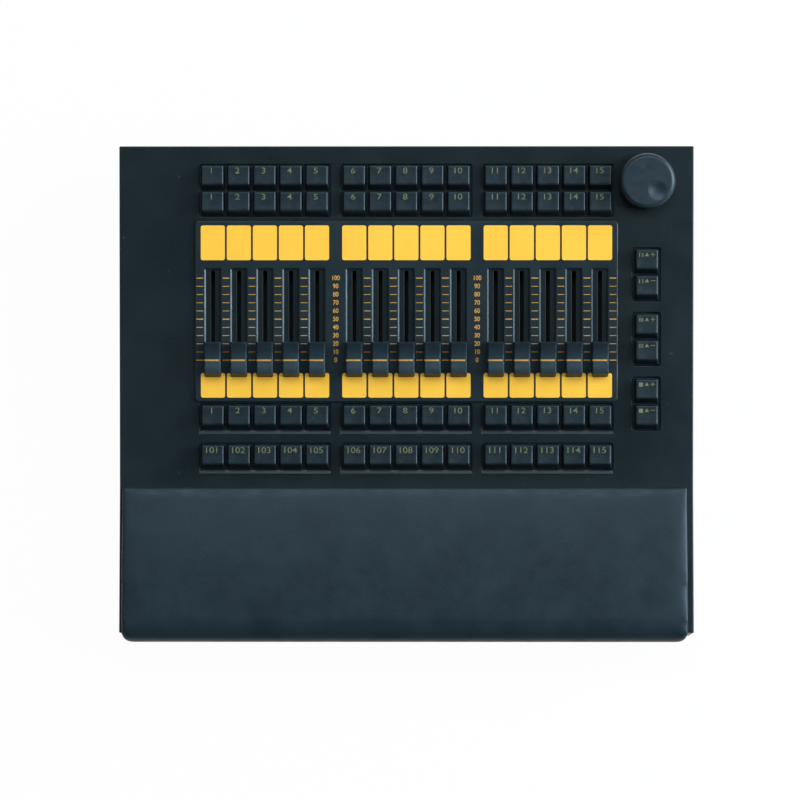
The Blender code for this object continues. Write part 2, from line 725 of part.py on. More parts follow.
def make_plates(material):
    """The base plate with its vents, and the front rail."""
    bm = bmesh.new()
    add_box(bm, (-HALF_INSIDE, Y_FRONT, FOOT_HEIGHT), (HALF_INSIDE, Y_REAR, BASE_TOP))
    base = new_object("base_plate", bm, material)
    bm = bmesh.new()
    for side in (-1, 1):
        for i in range(VENTS):
            x = side * BASE_VENT_PLACE + (i - (VENTS - 1) / 2) * VENT_STEP
            low_end = (x - VENT_SIZE[0] / 2, -VENT_SIZE[1] / 2)
            high_end = (x + VENT_SIZE[0] / 2, VENT_SIZE[1] / 2)
            slot = rounded_rectangle(low_end, high_end, VENT_ROUNDING, 1)
            add_prism(bm, slot, FOOT_HEIGHT - PLATE_WALL, BASE_TOP + PLATE_WALL, 2)
    combine(base, new_object("base_vents", bm, material), "DIFFERENCE")
    bm = bmesh.new()
    low = (-HALF_INSIDE, Y_FRONT, BASE_TOP + GAP)
    high = (HALF_INSIDE, Y_FRONT + PLATE_WALL, FRONT_HEIGHT - PANEL_FLANGE - GAP)
    add_box(bm, low, high)
    new_object("front_rail", bm, material)


def make_feet(material):
    x = HALF_WIDTH - FOOT_INSET
    profile = [
        (0, FOOT_HEIGHT - GAP),
        (FOOT_RADIUS, FOOT_HEIGHT - GAP),
        (FOOT_RADIUS - FOOT_TAPER, 0),
        (0, 0),
    ]
    places = (
        ("foot_front_left", -x, Y_FRONT + FOOT_INSET),
        ("foot_front_right", x, Y_FRONT + FOOT_INSET),
        ("foot_rear_left", -x, Y_REAR - FOOT_INSET),
        ("foot_rear_right", x, Y_REAR - FOOT_INSET),
    )
    for name, foot_x, foot_y in places:
        bm = bmesh.new()
        add_turned(bm, profile, 24)
        foot = new_object(name, bm, material, None, (foot_x, foot_y, 0))
        smooth(foot)


def rest_outline():
    """The side view of the wrist rest: a low crown that rolls over into a skirt at the front."""
    y_rear, y_front = Y_BEND - REST_GAP, Y_FRONT - REST_OVERHANG
    rear_top = BEND_HEIGHT + REST_RISE
    front_top = FRONT_HEIGHT + REST_FRONT_RISE
    skirt = FRONT_HEIGHT + REST_RISE - REST_SKIRT
    slope = REST_FALL / REST_DEPTH
    outline = [(y_rear, BEND_HEIGHT - REST_GAP * slope + GAP), (y_rear, rear_top)]
    steps = 8
    y_nose = y_front + REST_NOSE
    for step in range(1, steps + 1):
        along = step / steps
        y = y_rear + (y_nose - y_rear) * along
        crown = REST_CROWN * 4 * along * (1 - along)
        outline.append((y, rear_top + (front_top - rear_top) * along + crown))
    for step in range(1, 7):
        angle = math.pi / 2 * step / 6
        y = y_nose - REST_NOSE * math.sin(angle)
        outline.append((y, front_top - REST_NOSE * (1 - math.cos(angle))))
    outline += [(y_front + REST_EDGE, skirt), (Y_FRONT - GAP, skirt), (Y_FRONT - GAP, FRONT_HEIGHT + GAP)]
    return outline


def make_wrist_rest(material):
    """A moulded soft rest that lies on the flat part of the panel and hangs over its front edge."""
    left, right = REST_LEFT_INSET - HALF_WIDTH, HALF_WIDTH - REST_RIGHT_INSET
    bm = bmesh.new()
    add_prism(bm, rest_outline(), left, right, 0)
    rest = new_object("wrist_rest", bm, material)
    add_bevel(rest, REST_EDGE, 2, 40)
    y_front = Y_FRONT - REST_OVERHANG
    bm = bmesh.new()
    plan = rounded_rectangle((left, y_front), (right, Y_REAR), REST_CORNER, 4)
    add_prism(bm, plan, 0, REAR_HEIGHT, 2)
    combine(rest, new_object("rest_corners", bm, material), "INTERSECT")


def make_rear_plate(material):
    """The recessed rear plate, with a hole for each socket."""
    bm = bmesh.new()
    add_box(bm, (-HALF_INSIDE, Y_PLATE - PLATE_WALL, BASE_TOP + GAP), (HALF_INSIDE, Y_PLATE, PLATE_TOP))
    plate = new_object("rear_plate", bm, material)
    low, high = Y_PLATE - 2 * PLATE_WALL, Y_PLATE + PLATE_WALL
    bm = bmesh.new()
    for place, size in ((POWER_PLACE, POWER_BODY), (USB_PLACE, USB_SHELL)):
        x, z = size[0] / 2 + GAP, size[1] / 2 + GAP
        add_box(bm, (place - x, low, SOCKET_HEIGHT - z), (place + x, high, SOCKET_HEIGHT + z))
    for i in range(DMX_SOCKETS):
        centre = (DMX_FIRST + i * DMX_STEP, SOCKET_HEIGHT)
        add_prism(bm, circle(centre, DMX_BARREL + GAP, DMX_SIDES), low, high, 1)
    combine(plate, new_object("socket_holes", bm, material), "DIFFERENCE")


def make_power_inlet(material, rocker_material):
    """The mains inlet with its three blades, and the power rocker in the same housing."""
    face = Y_PLATE + GAP + FLANGE_THICKNESS
    bm = bmesh.new()
    x, z = POWER_FLANGE[0] / 2, POWER_FLANGE[1] / 2
    flange = rounded_rectangle((-x, SOCKET_HEIGHT - z), (x, SOCKET_HEIGHT + z), 2 * PLATE_WALL, 3)
    add_prism(bm, flange, Y_PLATE + GAP, face, 1)
    inlet = new_object("power_inlet", bm, material, None, (POWER_PLACE, 0, 0))
    bm = bmesh.new()
    x, z = POWER_BODY[0] / 2, POWER_BODY[1] / 2
    back = Y_PLATE - POWER_BODY[2]
    add_box(bm, (-x, back, SOCKET_HEIGHT - z), (x, face - GAP, SOCKET_HEIGHT + z))
    combine(inlet, new_object("inlet_body", bm, material, None, (POWER_PLACE, 0, 0)), "UNION")
    bm = bmesh.new()
    x, z, depth = POWER_CAVITY[0] / 2, POWER_CAVITY[1] / 2, POWER_CAVITY[2]
    low = (POWER_CAVITY_OFFSET - x, face - depth, SOCKET_HEIGHT - z)
    high = (POWER_CAVITY_OFFSET + x, face + depth, SOCKET_HEIGHT + z)
    add_box(bm, low, high)
    x, z = ROCKER_SIZE[0] / 2 + ROCKER_PLAY, ROCKER_SIZE[1] / 2 + ROCKER_PLAY
    low = (ROCKER_OFFSET - x, face - ROCKER_POCKET, SOCKET_HEIGHT - z)
    high = (ROCKER_OFFSET + x, face + ROCKER_POCKET, SOCKET_HEIGHT + z)
    add_box(bm, low, high)
    combine(inlet, new_object("inlet_cavities", bm, material, None, (POWER_PLACE, 0, 0)), "DIFFERENCE")
    bm = bmesh.new()
    for i, rise in ((-1, -1), (0, 1), (1, -1)):
        x = POWER_CAVITY_OFFSET + i * BLADE_SPREAD
        z = SOCKET_HEIGHT + rise * BLADE_OFFSET
        low = (x - BLADE_SIZE[0] / 2, face - depth - PLATE_WALL, z - BLADE_SIZE[1] / 2)
        high = (x + BLADE_SIZE[0] / 2, face - depth + BLADE_SIZE[2], z + BLADE_SIZE[1] / 2)
        add_box(bm, low, high)
    combine(inlet, new_object("inlet_blades", bm, material, None, (POWER_PLACE, 0, 0)), "UNION")

    half = ROCKER_SIZE[1] / 2
    depth = ROCKER_SIZE[2]
    fall = half * math.tan(ROCKER_TILT)
    outline = [(-depth / 2, -half), (depth / 2, -half), (depth / 2 - fall, 0), (depth / 2, half), (-depth / 2, half)]
    bm = bmesh.new()
    add_prism(bm, outline, -ROCKER_SIZE[0] / 2, ROCKER_SIZE[0] / 2, 0)
    place = (POWER_PLACE + ROCKER_OFFSET, face - ROCKER_AXIS_DEPTH, SOCKET_HEIGHT)
    rocker = new_object("power_rocker", bm, rocker_material, None, place)
    rocker.rotation_euler.x = -ROCKER_TILT
    add_bevel(rocker, KEY_EDGE / 2, 1, 40)


def make_usb_socket(material):
    """A square-bodied data socket with its contact tongue."""
    face = Y_PLATE + GAP + FLANGE_THICKNESS
    bm = bmesh.new()
    x, z = USB_FLANGE[0] / 2, USB_FLANGE[1] / 2
    flange = rounded_rectangle((-x, SOCKET_HEIGHT - z), (x, SOCKET_HEIGHT + z), PLATE_WALL, 3)
    add_prism(bm, flange, Y_PLATE + GAP, face, 1)
    socket = new_object("usb_socket", bm, material, None, (USB_PLACE, 0, 0))
    bm = bmesh.new()
    x, z = USB_SHELL[0] / 2, USB_SHELL[1] / 2
    add_box(bm, (-x, Y_PLATE - USB_SHELL[2], SOCKET_HEIGHT - z), (x, face - GAP, SOCKET_HEIGHT + z))
    combine(socket, new_object("usb_shell", bm, material, None, (USB_PLACE, 0, 0)), "UNION")
    bm = bmesh.new()
    x, z, depth = USB_MOUTH[0] / 2, USB_MOUTH[1] / 2, USB_MOUTH[2]
    chamfer = x / 3
    mouth = [
        (-x, SOCKET_HEIGHT - z),
        (x, SOCKET_HEIGHT - z),
        (x, SOCKET_HEIGHT + z - chamfer),
        (x - chamfer, SOCKET_HEIGHT + z),
        (chamfer - x, SOCKET_HEIGHT + z),
        (-x, SOCKET_HEIGHT + z - chamfer),
    ]
    add_prism(bm, mouth, face - depth, face + depth, 1)
    combine(socket, new_object("usb_mouth", bm, material, None, (USB_PLACE, 0, 0)), "DIFFERENCE")
    bm = bmesh.new()
    x, z = USB_TONGUE[0] / 2, USB_TONGUE[1] / 2
    low = (-x, face - depth - PLATE_WALL, SOCKET_HEIGHT - z)
    high = (x, face - depth + USB_TONGUE[2], SOCKET_HEIGHT + z)
    add_box(bm, low, high)
    combine(socket, new_object("usb_tongue", bm, material, None, (USB_PLACE, 0, 0)), "UNION")


def make_dmx_sockets(material):
    """Two round five-pole sockets, each on a rectangular flange."""
    face = Y_PLATE + GAP + FLANGE_THICKNESS
    rear_axis = Matrix.Rotation(math.radians(-90), 4, "X")
    inner, outer = DMX_GROOVE
    for i in range(DMX_SOCKETS):
        name = f"dmx_socket_{i + 1}"
        place = (DMX_FIRST + i * DMX_STEP, 0, 0)
        bm = bmesh.new()
        x, z = DMX_FLANGE[0] / 2, DMX_FLANGE[1] / 2
        flange = rounded_rectangle((-x, SOCKET_HEIGHT - z), (x, SOCKET_HEIGHT + z), PLATE_WALL, 3)
        add_prism(bm, flange, Y_PLATE + GAP, face, 1)
        socket = new_object(name, bm, material, None, place)
        bm = bmesh.new()
        add_prism(bm, circle((0, SOCKET_HEIGHT), DMX_BARREL, DMX_SIDES), face - DMX_BARREL_LENGTH, face - GAP, 1)
        combine(socket, new_object(name + "_barrel", bm, material, None, place), "UNION")
        ring = [(inner, 0), (outer, 0), (outer, 2 * DMX_GROOVE_DEPTH), (inner, 2 * DMX_GROOVE_DEPTH)]
        bm = bmesh.new()
        corners = [[bm.verts.new((cx, cy, h)) for cx, cy in circle((0, 0), r, DMX_SIDES)] for r, h in ring]
        for first, second in zip(corners, corners[1:] + corners[:1]):
            for k in range(DMX_SIDES):
                following = (k + 1) % DMX_SIDES
                bm.faces.new((first[k], first[following], second[following], second[k]))
        contacts = [(DMX_PIN_CIRCLE * math.cos(a), DMX_PIN_CIRCLE * math.sin(a)) for a in pole_angles()]
        for contact in contacts:
            low = DMX_GROOVE_DEPTH - DMX_PIN_DEPTH
            add_prism(bm, circle(contact, DMX_PIN_RADIUS, 8), low, 2 * DMX_GROOVE_DEPTH, 2)
        place_back = Matrix.Translation((0, face - DMX_GROOVE_DEPTH, SOCKET_HEIGHT)) @ rear_axis
        bmesh.ops.transform(bm, matrix=place_back, verts=bm.verts)
        combine(socket, new_object(name + "_holes", bm, material, None, place), "DIFFERENCE")


def pole_angles():
    """The contacts of a round socket, spread over most of a circle with a space at the key."""
    spread = math.radians(240)
    return [math.radians(-30) + spread * i / (DMX_PINS - 1) for i in range(DMX_PINS)]


def make_electronics(board_material, metal):
    """The main board on its posts, and the caged power supply, both on the base plate."""
    width, length = MAIN_BOARD_SIZE
    x, y = MAIN_BOARD_PLACE
    bottom = BASE_TOP + BOARD_LIFT
    top = bottom + BOARD_THICKNESS
    bm = bmesh.new()
    add_box(bm, (x - width / 2, y - length / 2, bottom), (x + width / 2, y + length / 2, top))
    board = new_object("main_board", bm, board_material)
    root = bottom + BOARD_THICKNESS / 2
    bm = bmesh.new()
    for side_x in (-1, 1):
        for side_y in (-1, 1):
            post_x = x + side_x * (width / 2 - 2 * BOARD_MARGIN)
            post_y = y + side_y * (length / 2 - 2 * BOARD_MARGIN)
            add_prism(bm, circle((post_x, post_y), 2 * POST_RADIUS, 12), BASE_TOP + GAP, root, 2)
    # Chips and a header, in shares of the board: place in x and y, then half width, half length and height
    chips = (
        (-0.30, 0.10, 0.07, 0.14, 0.016),
        (0.05, 0.25, 0.05, 0.07, 0.013),
        (0.30, -0.15, 0.04, 0.10, 0.013),
        (-0.05, -0.30, 0.16, 0.04, 0.047),
        (0.32, 0.32, 0.03, 0.06, 0.058),
    )
    for share_x, share_y, half_width, half_length, height in chips:
        chip_x, chip_y = x + share_x * width, y + share_y * length
        low = (chip_x - half_width * width, chip_y - half_length * length, root)
        high = (chip_x + half_width * width, chip_y + half_length * length, top + height * width)
        add_box(bm, low, high)
    combine(board, new_object("main_board_fittings", bm, board_material), "UNION")

    width, length, height = SUPPLY_SIZE
    x, y = SUPPLY_PLACE
    bm = bmesh.new()
    low = (x - width / 2, y - length / 2, BASE_TOP + GAP)
    high = (x + width / 2, y + length / 2, BASE_TOP + GAP + height)
    add_box(bm, low, high)
    supply = new_object("power_supply", bm, metal)
    add_bevel(supply, PANEL_EDGE, 1)
    bm = bmesh.new()
    rows = 6
    for i in range(rows):
        slot_y = y + (i - (rows - 1) / 2) * VENT_STEP
        slot_low = (x - width / 3, slot_y - VENT_SIZE[0] / 2, BASE_TOP + height - PLATE_WALL)
        slot_high = (x + width / 3, slot_y + VENT_SIZE[0] / 2, BASE_TOP + 2 * height)
        add_box(bm, slot_low, slot_high)
    combine(supply, new_object("supply_vents", bm, metal), "DIFFERENCE")


def main():
    for obj in list(bpy.data.objects):
        bpy.data.objects.remove(obj)

    painted = make_material("painted_panel", srgb(33, 43, 48), 0.42, 0.2)
    gloss = make_material("overlay_film", srgb(38, 48, 54), 0.22)
    case_paint = make_material("case_paint", srgb(30, 38, 42), 0.5, 0.2)
    soft = make_material("wrist_rest_skin", srgb(42, 55, 64), 0.55)
    cap_plastic = make_material("fader_cap_plastic", srgb(44, 58, 66), 0.38)
    key_plastic = make_material("key_plastic", srgb(36, 46, 52), 0.35)
    knob_plastic = make_material("wheel_plastic", srgb(43, 57, 65), 0.4)
    rubber = make_material("foot_rubber", srgb(22, 23, 24), 0.85)
    black_plastic = make_material("socket_plastic", srgb(24, 26, 28), 0.45)
    board_green = make_material("board_laminate", srgb(28, 74, 52), 0.45)
    metal = make_material("zinc_plate", srgb(150, 154, 158), 0.35, 0.9)

    datum = bpy.data.objects.new("panel_datum", None)
    bpy.context.scene.collection.objects.link(datum)
    datum.location = (0, Y_REAR, REAR_HEIGHT)
    datum.rotation_euler.x = PANEL_TILT

    make_control_panel(datum, painted)
    make_overlay(datum, gloss)
    make_faders(datum, cap_plastic)
    make_keys(datum, key_plastic)
    make_encoder(datum, knob_plastic, metal)
    make_fader_frames(datum, metal)
    make_key_boards(datum, board_green)
    make_side_cheeks(case_paint)
    make_plates(case_paint)
    make_rear_plate(case_paint)
    make_feet(rubber)
    make_wrist_rest(soft)
    make_power_inlet(black_plastic, black_plastic)
    make_usb_socket(metal)
    make_dmx_sockets(black_plastic)
    make_electronics(board_green, metal)


main()
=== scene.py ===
"""Looks of the lighting fader wing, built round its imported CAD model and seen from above, as in the photo.

Metres, +X to the user's right, +Y to the rear, +Z up. The file follows the wing as it is put together:
the camera and the studio, the case, the sloping panel with what is mounted on it, the wrist rest, and
last the sockets at the back and what can be seen through the openings.
"""

import json
import math

import bmesh
import bpy
from mathutils import Matrix, Vector


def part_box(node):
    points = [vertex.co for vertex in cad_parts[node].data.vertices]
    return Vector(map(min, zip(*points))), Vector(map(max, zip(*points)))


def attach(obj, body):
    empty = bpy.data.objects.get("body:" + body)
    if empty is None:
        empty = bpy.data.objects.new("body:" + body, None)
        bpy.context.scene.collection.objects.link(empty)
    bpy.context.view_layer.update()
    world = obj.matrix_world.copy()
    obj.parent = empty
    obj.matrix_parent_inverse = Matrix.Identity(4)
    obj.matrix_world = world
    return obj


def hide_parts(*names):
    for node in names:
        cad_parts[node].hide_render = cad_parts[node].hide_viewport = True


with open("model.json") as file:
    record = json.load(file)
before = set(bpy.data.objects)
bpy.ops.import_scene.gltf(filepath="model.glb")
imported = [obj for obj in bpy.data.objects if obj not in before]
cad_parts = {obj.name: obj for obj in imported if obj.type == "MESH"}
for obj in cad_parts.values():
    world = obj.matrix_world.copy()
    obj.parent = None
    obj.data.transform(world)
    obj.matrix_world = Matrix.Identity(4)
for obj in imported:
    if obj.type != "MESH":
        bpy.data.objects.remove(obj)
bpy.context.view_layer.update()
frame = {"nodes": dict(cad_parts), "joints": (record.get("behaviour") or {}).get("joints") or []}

# The camera hangs over the wing and leans 7 degrees to the user's side, which puts the rear and the
# front edge of the case at one distance from it. The view is fitted to the case's four corners.
CAMERA_PLACE = (0.0097, -0.3005, 2.5423)
CAMERA_LEAN = math.radians(6.82)
CAMERA_YAW = math.radians(0.33)
PICTURE_SIDE = 800
FOCAL_PIXELS = 3412
SENSOR_WIDTH = 36

camera_turn = Matrix.Rotation(CAMERA_LEAN, 4, "X") @ Matrix.Rotation(CAMERA_YAW, 4, "Y")
bpy.ops.object.camera_add(location=CAMERA_PLACE, rotation=camera_turn.to_euler())
camera = bpy.context.object
camera.name = "camera"
camera.data.sensor_width = SENSOR_WIDTH
camera.data.lens = SENSOR_WIDTH * FOCAL_PIXELS / PICTURE_SIDE
bpy.context.scene.camera = camera

# The studio: a white floor that keeps a faint shadow, hung round with dark felt that the shiny tops
# mirror. A soft lamp high at the right lights the wing, a low one its edges, a wide one stands behind,
# and a weak one fills the shadows from the left.
FLOOR_SIDE = 24.0
FLOOR_WHITE = 0.65
FLOOR_CAMERA_SHARE = 0.97
FELT_SIDE = 13.0
FELT_HEIGHT = 7.0
FELT_DEPTH = 2.0
AMBIENT = 0.15
LAMP_AIM = Vector((0, 0, 0.05))
# Each lamp has its place, size, watts and colour
LAMPS = {
    "lamp_key": ((3.5, 0.24, 4.4), (3.2, 3.2), 182, (0.97, 0.98, 1.0)),
    "lamp_fill": ((-3.2, 0.6, 4.3), (3.2, 3.2), 38, (0.94, 0.97, 1.0)),
    "lamp_edge": ((4.8, 0.96, 1.6), (4.2, 1.9), 530, (0.78, 0.90, 1.0)),
    "lamp_rear": ((0.0, 2.15, 4.7), (3.2, 1.6), 108, (0.88, 0.96, 1.0)),
}


def wire(tree, kind, inputs, **settings):
    """A new shader node with settings, and with a value or another node's output in its inputs."""
    node = tree.nodes.new("ShaderNode" + kind)
    for setting, value in settings.items():
        setattr(node, setting, value)
    for socket, source in inputs.items():
        if isinstance(source, bpy.types.NodeSocket):
            tree.links.new(source, node.inputs[socket])
        else:
            node.inputs[socket].default_value = source
    return node


def seen_factor(tree):
    """1 for rays from the camera and for those that a shiny or clear surface sends on, else 0."""
    path = wire(tree, "LightPath", {})
    total = path.outputs["Is Camera Ray"]
    for name in ("Is Glossy Ray", "Is Transmission Ray"):
        total = wire(tree, "Math", {0: total, 1: path.outputs[name]}, operation="MAXIMUM").outputs[0]
    return total


# The floor is a matt white that is seen a share of the way to pure white
bpy.ops.mesh.primitive_plane_add(size=FLOOR_SIDE)
floor = bpy.context.object
floor.name = "studio_floor"
floor_white = bpy.data.materials.new("studio_white")
floor_white.use_nodes = True
tree = floor_white.node_tree
tree.nodes.clear()
matt = wire(tree, "BsdfDiffuse", {"Color": (FLOOR_WHITE, FLOOR_WHITE, FLOOR_WHITE, 1)})
glow = wire(tree, "Emission", {})
seen = wire(tree, "Math", {0: seen_factor(tree), 1: FLOOR_CAMERA_SHARE}, operation="MULTIPLY")
mix = wire(tree, "MixShader", {"Fac": seen.outputs[0], 1: matt.outputs[0], 2: glow.outputs[0]})
wire(tree, "OutputMaterial", {"Surface": mix.outputs[0]})
floor.data.materials.append(floor_white)

bpy.ops.mesh.primitive_cube_add(
    size=1,
    location=(0, 0, (FELT_HEIGHT - FELT_DEPTH) / 2),
    scale=(FELT_SIDE, FELT_SIDE, FELT_HEIGHT + FELT_DEPTH),
)
curtain = bpy.context.object
curtain.name = "studio_curtain"
curtain.visible_camera = False
felt = bpy.data.materials.new("dark_felt")
felt.use_nodes = True
felt_shader = felt.node_tree.nodes["Principled BSDF"]
felt_shader.inputs["Base Color"].default_value = (0.12, 0.13, 0.14, 1)
felt_shader.inputs["Roughness"].default_value = 1.0
curtain.data.materials.append(felt)

world = bpy.data.worlds.new("studio_air")
bpy.context.scene.world = world
world.use_nodes = True
air = world.node_tree
air.nodes.clear()
ambient = wire(air, "Background", {"Color": (0.94, 0.97, 1.0, 1), "Strength": AMBIENT})
white = wire(air, "Background", {"Color": (1, 1, 1, 1), "Strength": 1.0})
choice = wire(air, "MixShader", {"Fac": seen_factor(air), 1: ambient.outputs[0], 2: white.outputs[0]})
wire(air, "OutputWorld", {"Surface": choice.outputs[0]})

for lamp_name, (lamp_place, lamp_size, watts, lamp_colour) in LAMPS.items():
    towards = (LAMP_AIM - Vector(lamp_place)).to_track_quat("-Z", "Y")
    bpy.ops.object.light_add(type="AREA", location=lamp_place, rotation=towards.to_euler())
    bpy.context.object.name = lamp_name
    bpy.context.object.visible_camera = False
    area = bpy.context.object.data
    area.shape = "RECTANGLE"
    area.size, area.size_y = lamp_size
    area.energy = watts
    area.color = lamp_colour
bpy.context.scene.view_settings.view_transform = "Standard"

# The case: side walls, base plate, front rail and rear plate of folded steel sheet, powder coated in a
# blue black with a fine texture. They are the CAD solids, and the coat alone makes their looks.
COOL = (0.74, 0.90, 1.0)
COAT_DUST = (70, 84, 92)


def screen_colour(values):
    """A colour in the 8-bit values of a screen, as the linear values that a shader takes."""
    shares = [value / 255 for value in values]
    return [v / 12.92 if v < 0.04045 else ((v + 0.055) / 1.055) ** 2.4 for v in shares] + [1.0]


class Finish:
    """A material of one Principled shader, with patterns on the piece's own coordinates in metres."""

    def __init__(self, name, metallic=0.0, specular=0.5, glint=(1.0, 1.0, 1.0)):
        self.material = bpy.data.materials.new(name)
        self.material.use_nodes = True
        self.tree = self.material.node_tree
        self.shader = self.tree.nodes["Principled BSDF"]
        self.shader.inputs["Metallic"].default_value = metallic
        self.shader.inputs["Specular IOR Level"].default_value = specular
        self.shader.inputs["Specular Tint"].default_value = (*glint, 1)
        self.place = wire(self.tree, "TexCoord", {}).outputs["Object"]
        self.tone = self.relief = None

    def noise(self, size, detail=3.0):
        """Cloudy noise whose features are about that size in metres."""
        inputs = {"Vector": self.place, "Scale": 1 / size, "Detail": detail}
        return wire(self.tree, "TexNoise", inputs).outputs["Fac"]

    def cells(self, size, feature="F1"):
        """Grain of rounded cells of about that size in metres."""
        inputs = {"Vector": self.place, "Scale": 1 / size}
        return wire(self.tree, "TexVoronoi", inputs, feature=feature).outputs["Distance"]

    def spread(self, pattern, low, high, start=0.25, end=0.75):
        """A pattern's middle values, stretched over the range from low to high."""
        inputs = {"Value": pattern, "From Min": start, "From Max": end, "To Min": low, "To Max": high}
        return wire(self.tree, "MapRange", inputs, interpolation_type="SMOOTHSTEP").outputs["Result"]

    def lay_tone(self, share, under, over):
        """The base colour is mixed from two colours."""
        mix = wire(self.tree, "Mix", {"Factor": share, "A": under, "B": over}, data_type="RGBA")
        self.tone = mix.outputs["Result"]
        self.tree.links.new(self.tone, self.shader.inputs["Base Color"])

    def tint(self, pattern, first, second):
        """The base colour runs from the first to the second screen colour with a pattern."""
        self.lay_tone(self.spread(pattern, 0, 1), screen_colour(first), screen_colour(second))

    def speck(self, share, colour):
        """A third screen colour over the base colour, where a pattern is near 1."""
        self.lay_tone(share, self.tone, screen_colour(colour))

    def polish(self, pattern, low, high):
        """The roughness runs from low to high with a pattern."""
        self.tree.links.new(self.spread(pattern, low, high), self.shader.inputs["Roughness"])

    def bump(self, pattern, depth, strength):
        """Relief of that depth in metres, on top of any relief that is already there."""
        inputs = {"Height": pattern, "Distance": depth, "Strength": strength}
        if self.relief is not None:
            inputs["Normal"] = self.relief
        self.relief = wire(self.tree, "Bump", inputs).outputs["Normal"]
        self.tree.links.new(self.relief, self.shader.inputs["Normal"])


def mottled(name, dark, light, cloud, shine, grain=None, **surface):
    """A finish with a cloudy tone, an uneven shine and a fine grain.

    cloud is a size and a detail, shine the same with the lowest and the highest roughness, and grain a
    size, a depth and a strength.
    """
    finish = Finish(name, **surface)
    finish.tint(finish.noise(*cloud), dark, light)
    finish.polish(finish.noise(*shine[:2]), *shine[2:])
    if grain:
        finish.bump(finish.noise(grain[0], 2), *grain[1:])
    return finish


def powder_coat(name, dark, light, low, high):
    """A thin textured coat: cloudy tone, a pebbled relief, and a few pale dust specks."""
    shine, grain = (0.03, 2, low, high), (0.0007, 0.00004, 0.4)
    powder = mottled(name, dark, light, (0.09, 2), shine, grain, specular=0.35, glint=COOL)
    powder.speck(powder.spread(powder.noise(0.004), 0, 0.5, 0.72, 0.80), COAT_DUST)
    powder.bump(powder.cells(0.0011, "SMOOTH_F1"), 0.00003, 0.4)
    return powder.material


case_coat = powder_coat("case_coat", (19, 28, 31), (21, 31, 35), 0.37, 0.43)
for node in ("side_cheek_left", "side_cheek_right", "base_plate", "front_rail", "rear_plate"):
    frame["nodes"][node].data.materials[0] = case_coat

# The control panel: one bent sheet of steel with a flange at each end, coated like the case. Nine
# windows for the numbered keys, three for the side keys, fifteen fader slots and the wheel's hole are
# punched in it, and the front edges of the two front rows of windows are pressed down into lips.
BANKS = ("left", "centre", "right")
FADER_COUNT = 15
SHEET = 0.0020
FLANGE = 0.0080
REST_FALL = 0.0060
REST_GAP = 0.0005
FOLD_EDGE = 0.0009
PUNCHED_EDGE = 0.00035
WEB_OVERLAP = 0.0010
ROW_REACH = 0.0100
SIDE_REACH = 0.0103
WINDOW_CORNER = 0.0020
LIP_LENGTH = 0.0030
LIP_DEPTH = 0.0012
SLOT_WIDTH = 0.0030
SLOT_CORNER = 0.00135
SLOT_END = 0.0047
TRAVEL = 0.0600
SPINDLE_HOLE = 0.0046
TINY = 0.00001
X, Y, Z = 0, 1, 2

# Pieces on the slope are modelled flat, from the wheel's line: x across, y up the slope, z off the panel
joints = {joint["name"]: joint for joint in frame["joints"]}
up_slope = Vector(joints["fader_01_slide"]["axis"])
off_panel = Vector(joints["encoder_turn"]["axis"])
wheel_pivot = Vector(joints["encoder_turn"]["pos_m"])
panel_turn = Matrix(((1, 0, 0), up_slope, off_panel)).transposed().to_4x4()
panel_place = Matrix.Translation((0, wheel_pivot.y, wheel_pivot.z)) @ panel_turn
to_panel = panel_place.inverted()


def panel_box(node):
    """The lowest and highest corners of a CAD node in the panel's own axes."""
    points = [to_panel @ vertex.co for vertex in frame["nodes"][node].data.vertices]
    return [Vector([end(point[i] for point in points) for i in (X, Y, Z)]) for end in (min, max)]


def activate(*pieces):
    """These pieces are selected and nothing else is; the first is the active one."""
    bpy.ops.object.select_all(action="DESELECT")
    for piece in pieces:
        piece.select_set(True)
    bpy.context.view_layer.objects.active = pieces[0]
    return pieces[0]


def block(name, low, high):
    """A block between two corners."""
    size = Vector(high) - Vector(low)
    bpy.ops.mesh.primitive_cube_add(size=1, location=Vector(low) + size / 2, scale=size)
    piece = bpy.context.object
    piece.name = piece.data.name = name
    bpy.ops.object.transform_apply()
    return piece


def strip(x, width, low_y, high_y, bottom, top):
    """The corners of a block, from its middle line and its width."""
    return (x - width / 2, low_y, bottom), (x + width / 2, high_y, top)


def cylinder(sides, radius, depth, middle, tilt=(0, 0, 0)):
    bpy.ops.mesh.primitive_cylinder_add(
        vertices=sides, radius=radius, depth=depth, location=middle, rotation=tilt
    )
    return bpy.context.object


def work(piece, kind, wanted, operator, **settings):
    """Runs an edit mode operator on only the EDGE or FACE parts that pass a test."""
    activate(piece)
    bpy.ops.object.mode_set(mode="EDIT")
    bpy.ops.mesh.select_mode(type=kind)
    bpy.ops.mesh.select_all(action="DESELECT")
    mesh = bmesh.from_edit_mesh(piece.data)
    for part in mesh.edges if kind == "EDGE" else mesh.faces:
        if wanted(part):
            part.select_set(True)
    bmesh.update_edit_mesh(piece.data)
    operator(**settings)
    bpy.ops.object.mode_set(mode="OBJECT")


def draw_out(step):
    """Extrudes what is selected in edit mode."""
    bpy.ops.mesh.extrude_region_move(TRANSFORM_OT_translate={"value": step})


def everything(part):
    return True


def facing(axis, side):
    """A test for faces that face one way along an axis, 1 or -1."""
    return lambda face: face.normal[axis] * side > 0.9


def beyond(axis, level, share=all):
    """A test for edges with all or any of their ends beyond a level on an axis."""
    return lambda edge: share(vertex.co[axis] > level for vertex in edge.verts)


def runs_along(edge, axis):
    """Whether an edge lies along an axis."""
    run = edge.verts[1].co - edge.verts[0].co
    return abs(run[axis]) > 0.999 * run.length


def round_edges(piece, radius, segments, wanted):
    """Rounds the edges that pass a test."""
    bevel = {"offset": radius, "offset_type": "OFFSET", "segments": segments, "affect": "EDGES"}
    work(piece, "EDGE", wanted, bpy.ops.mesh.bevel, **bevel)


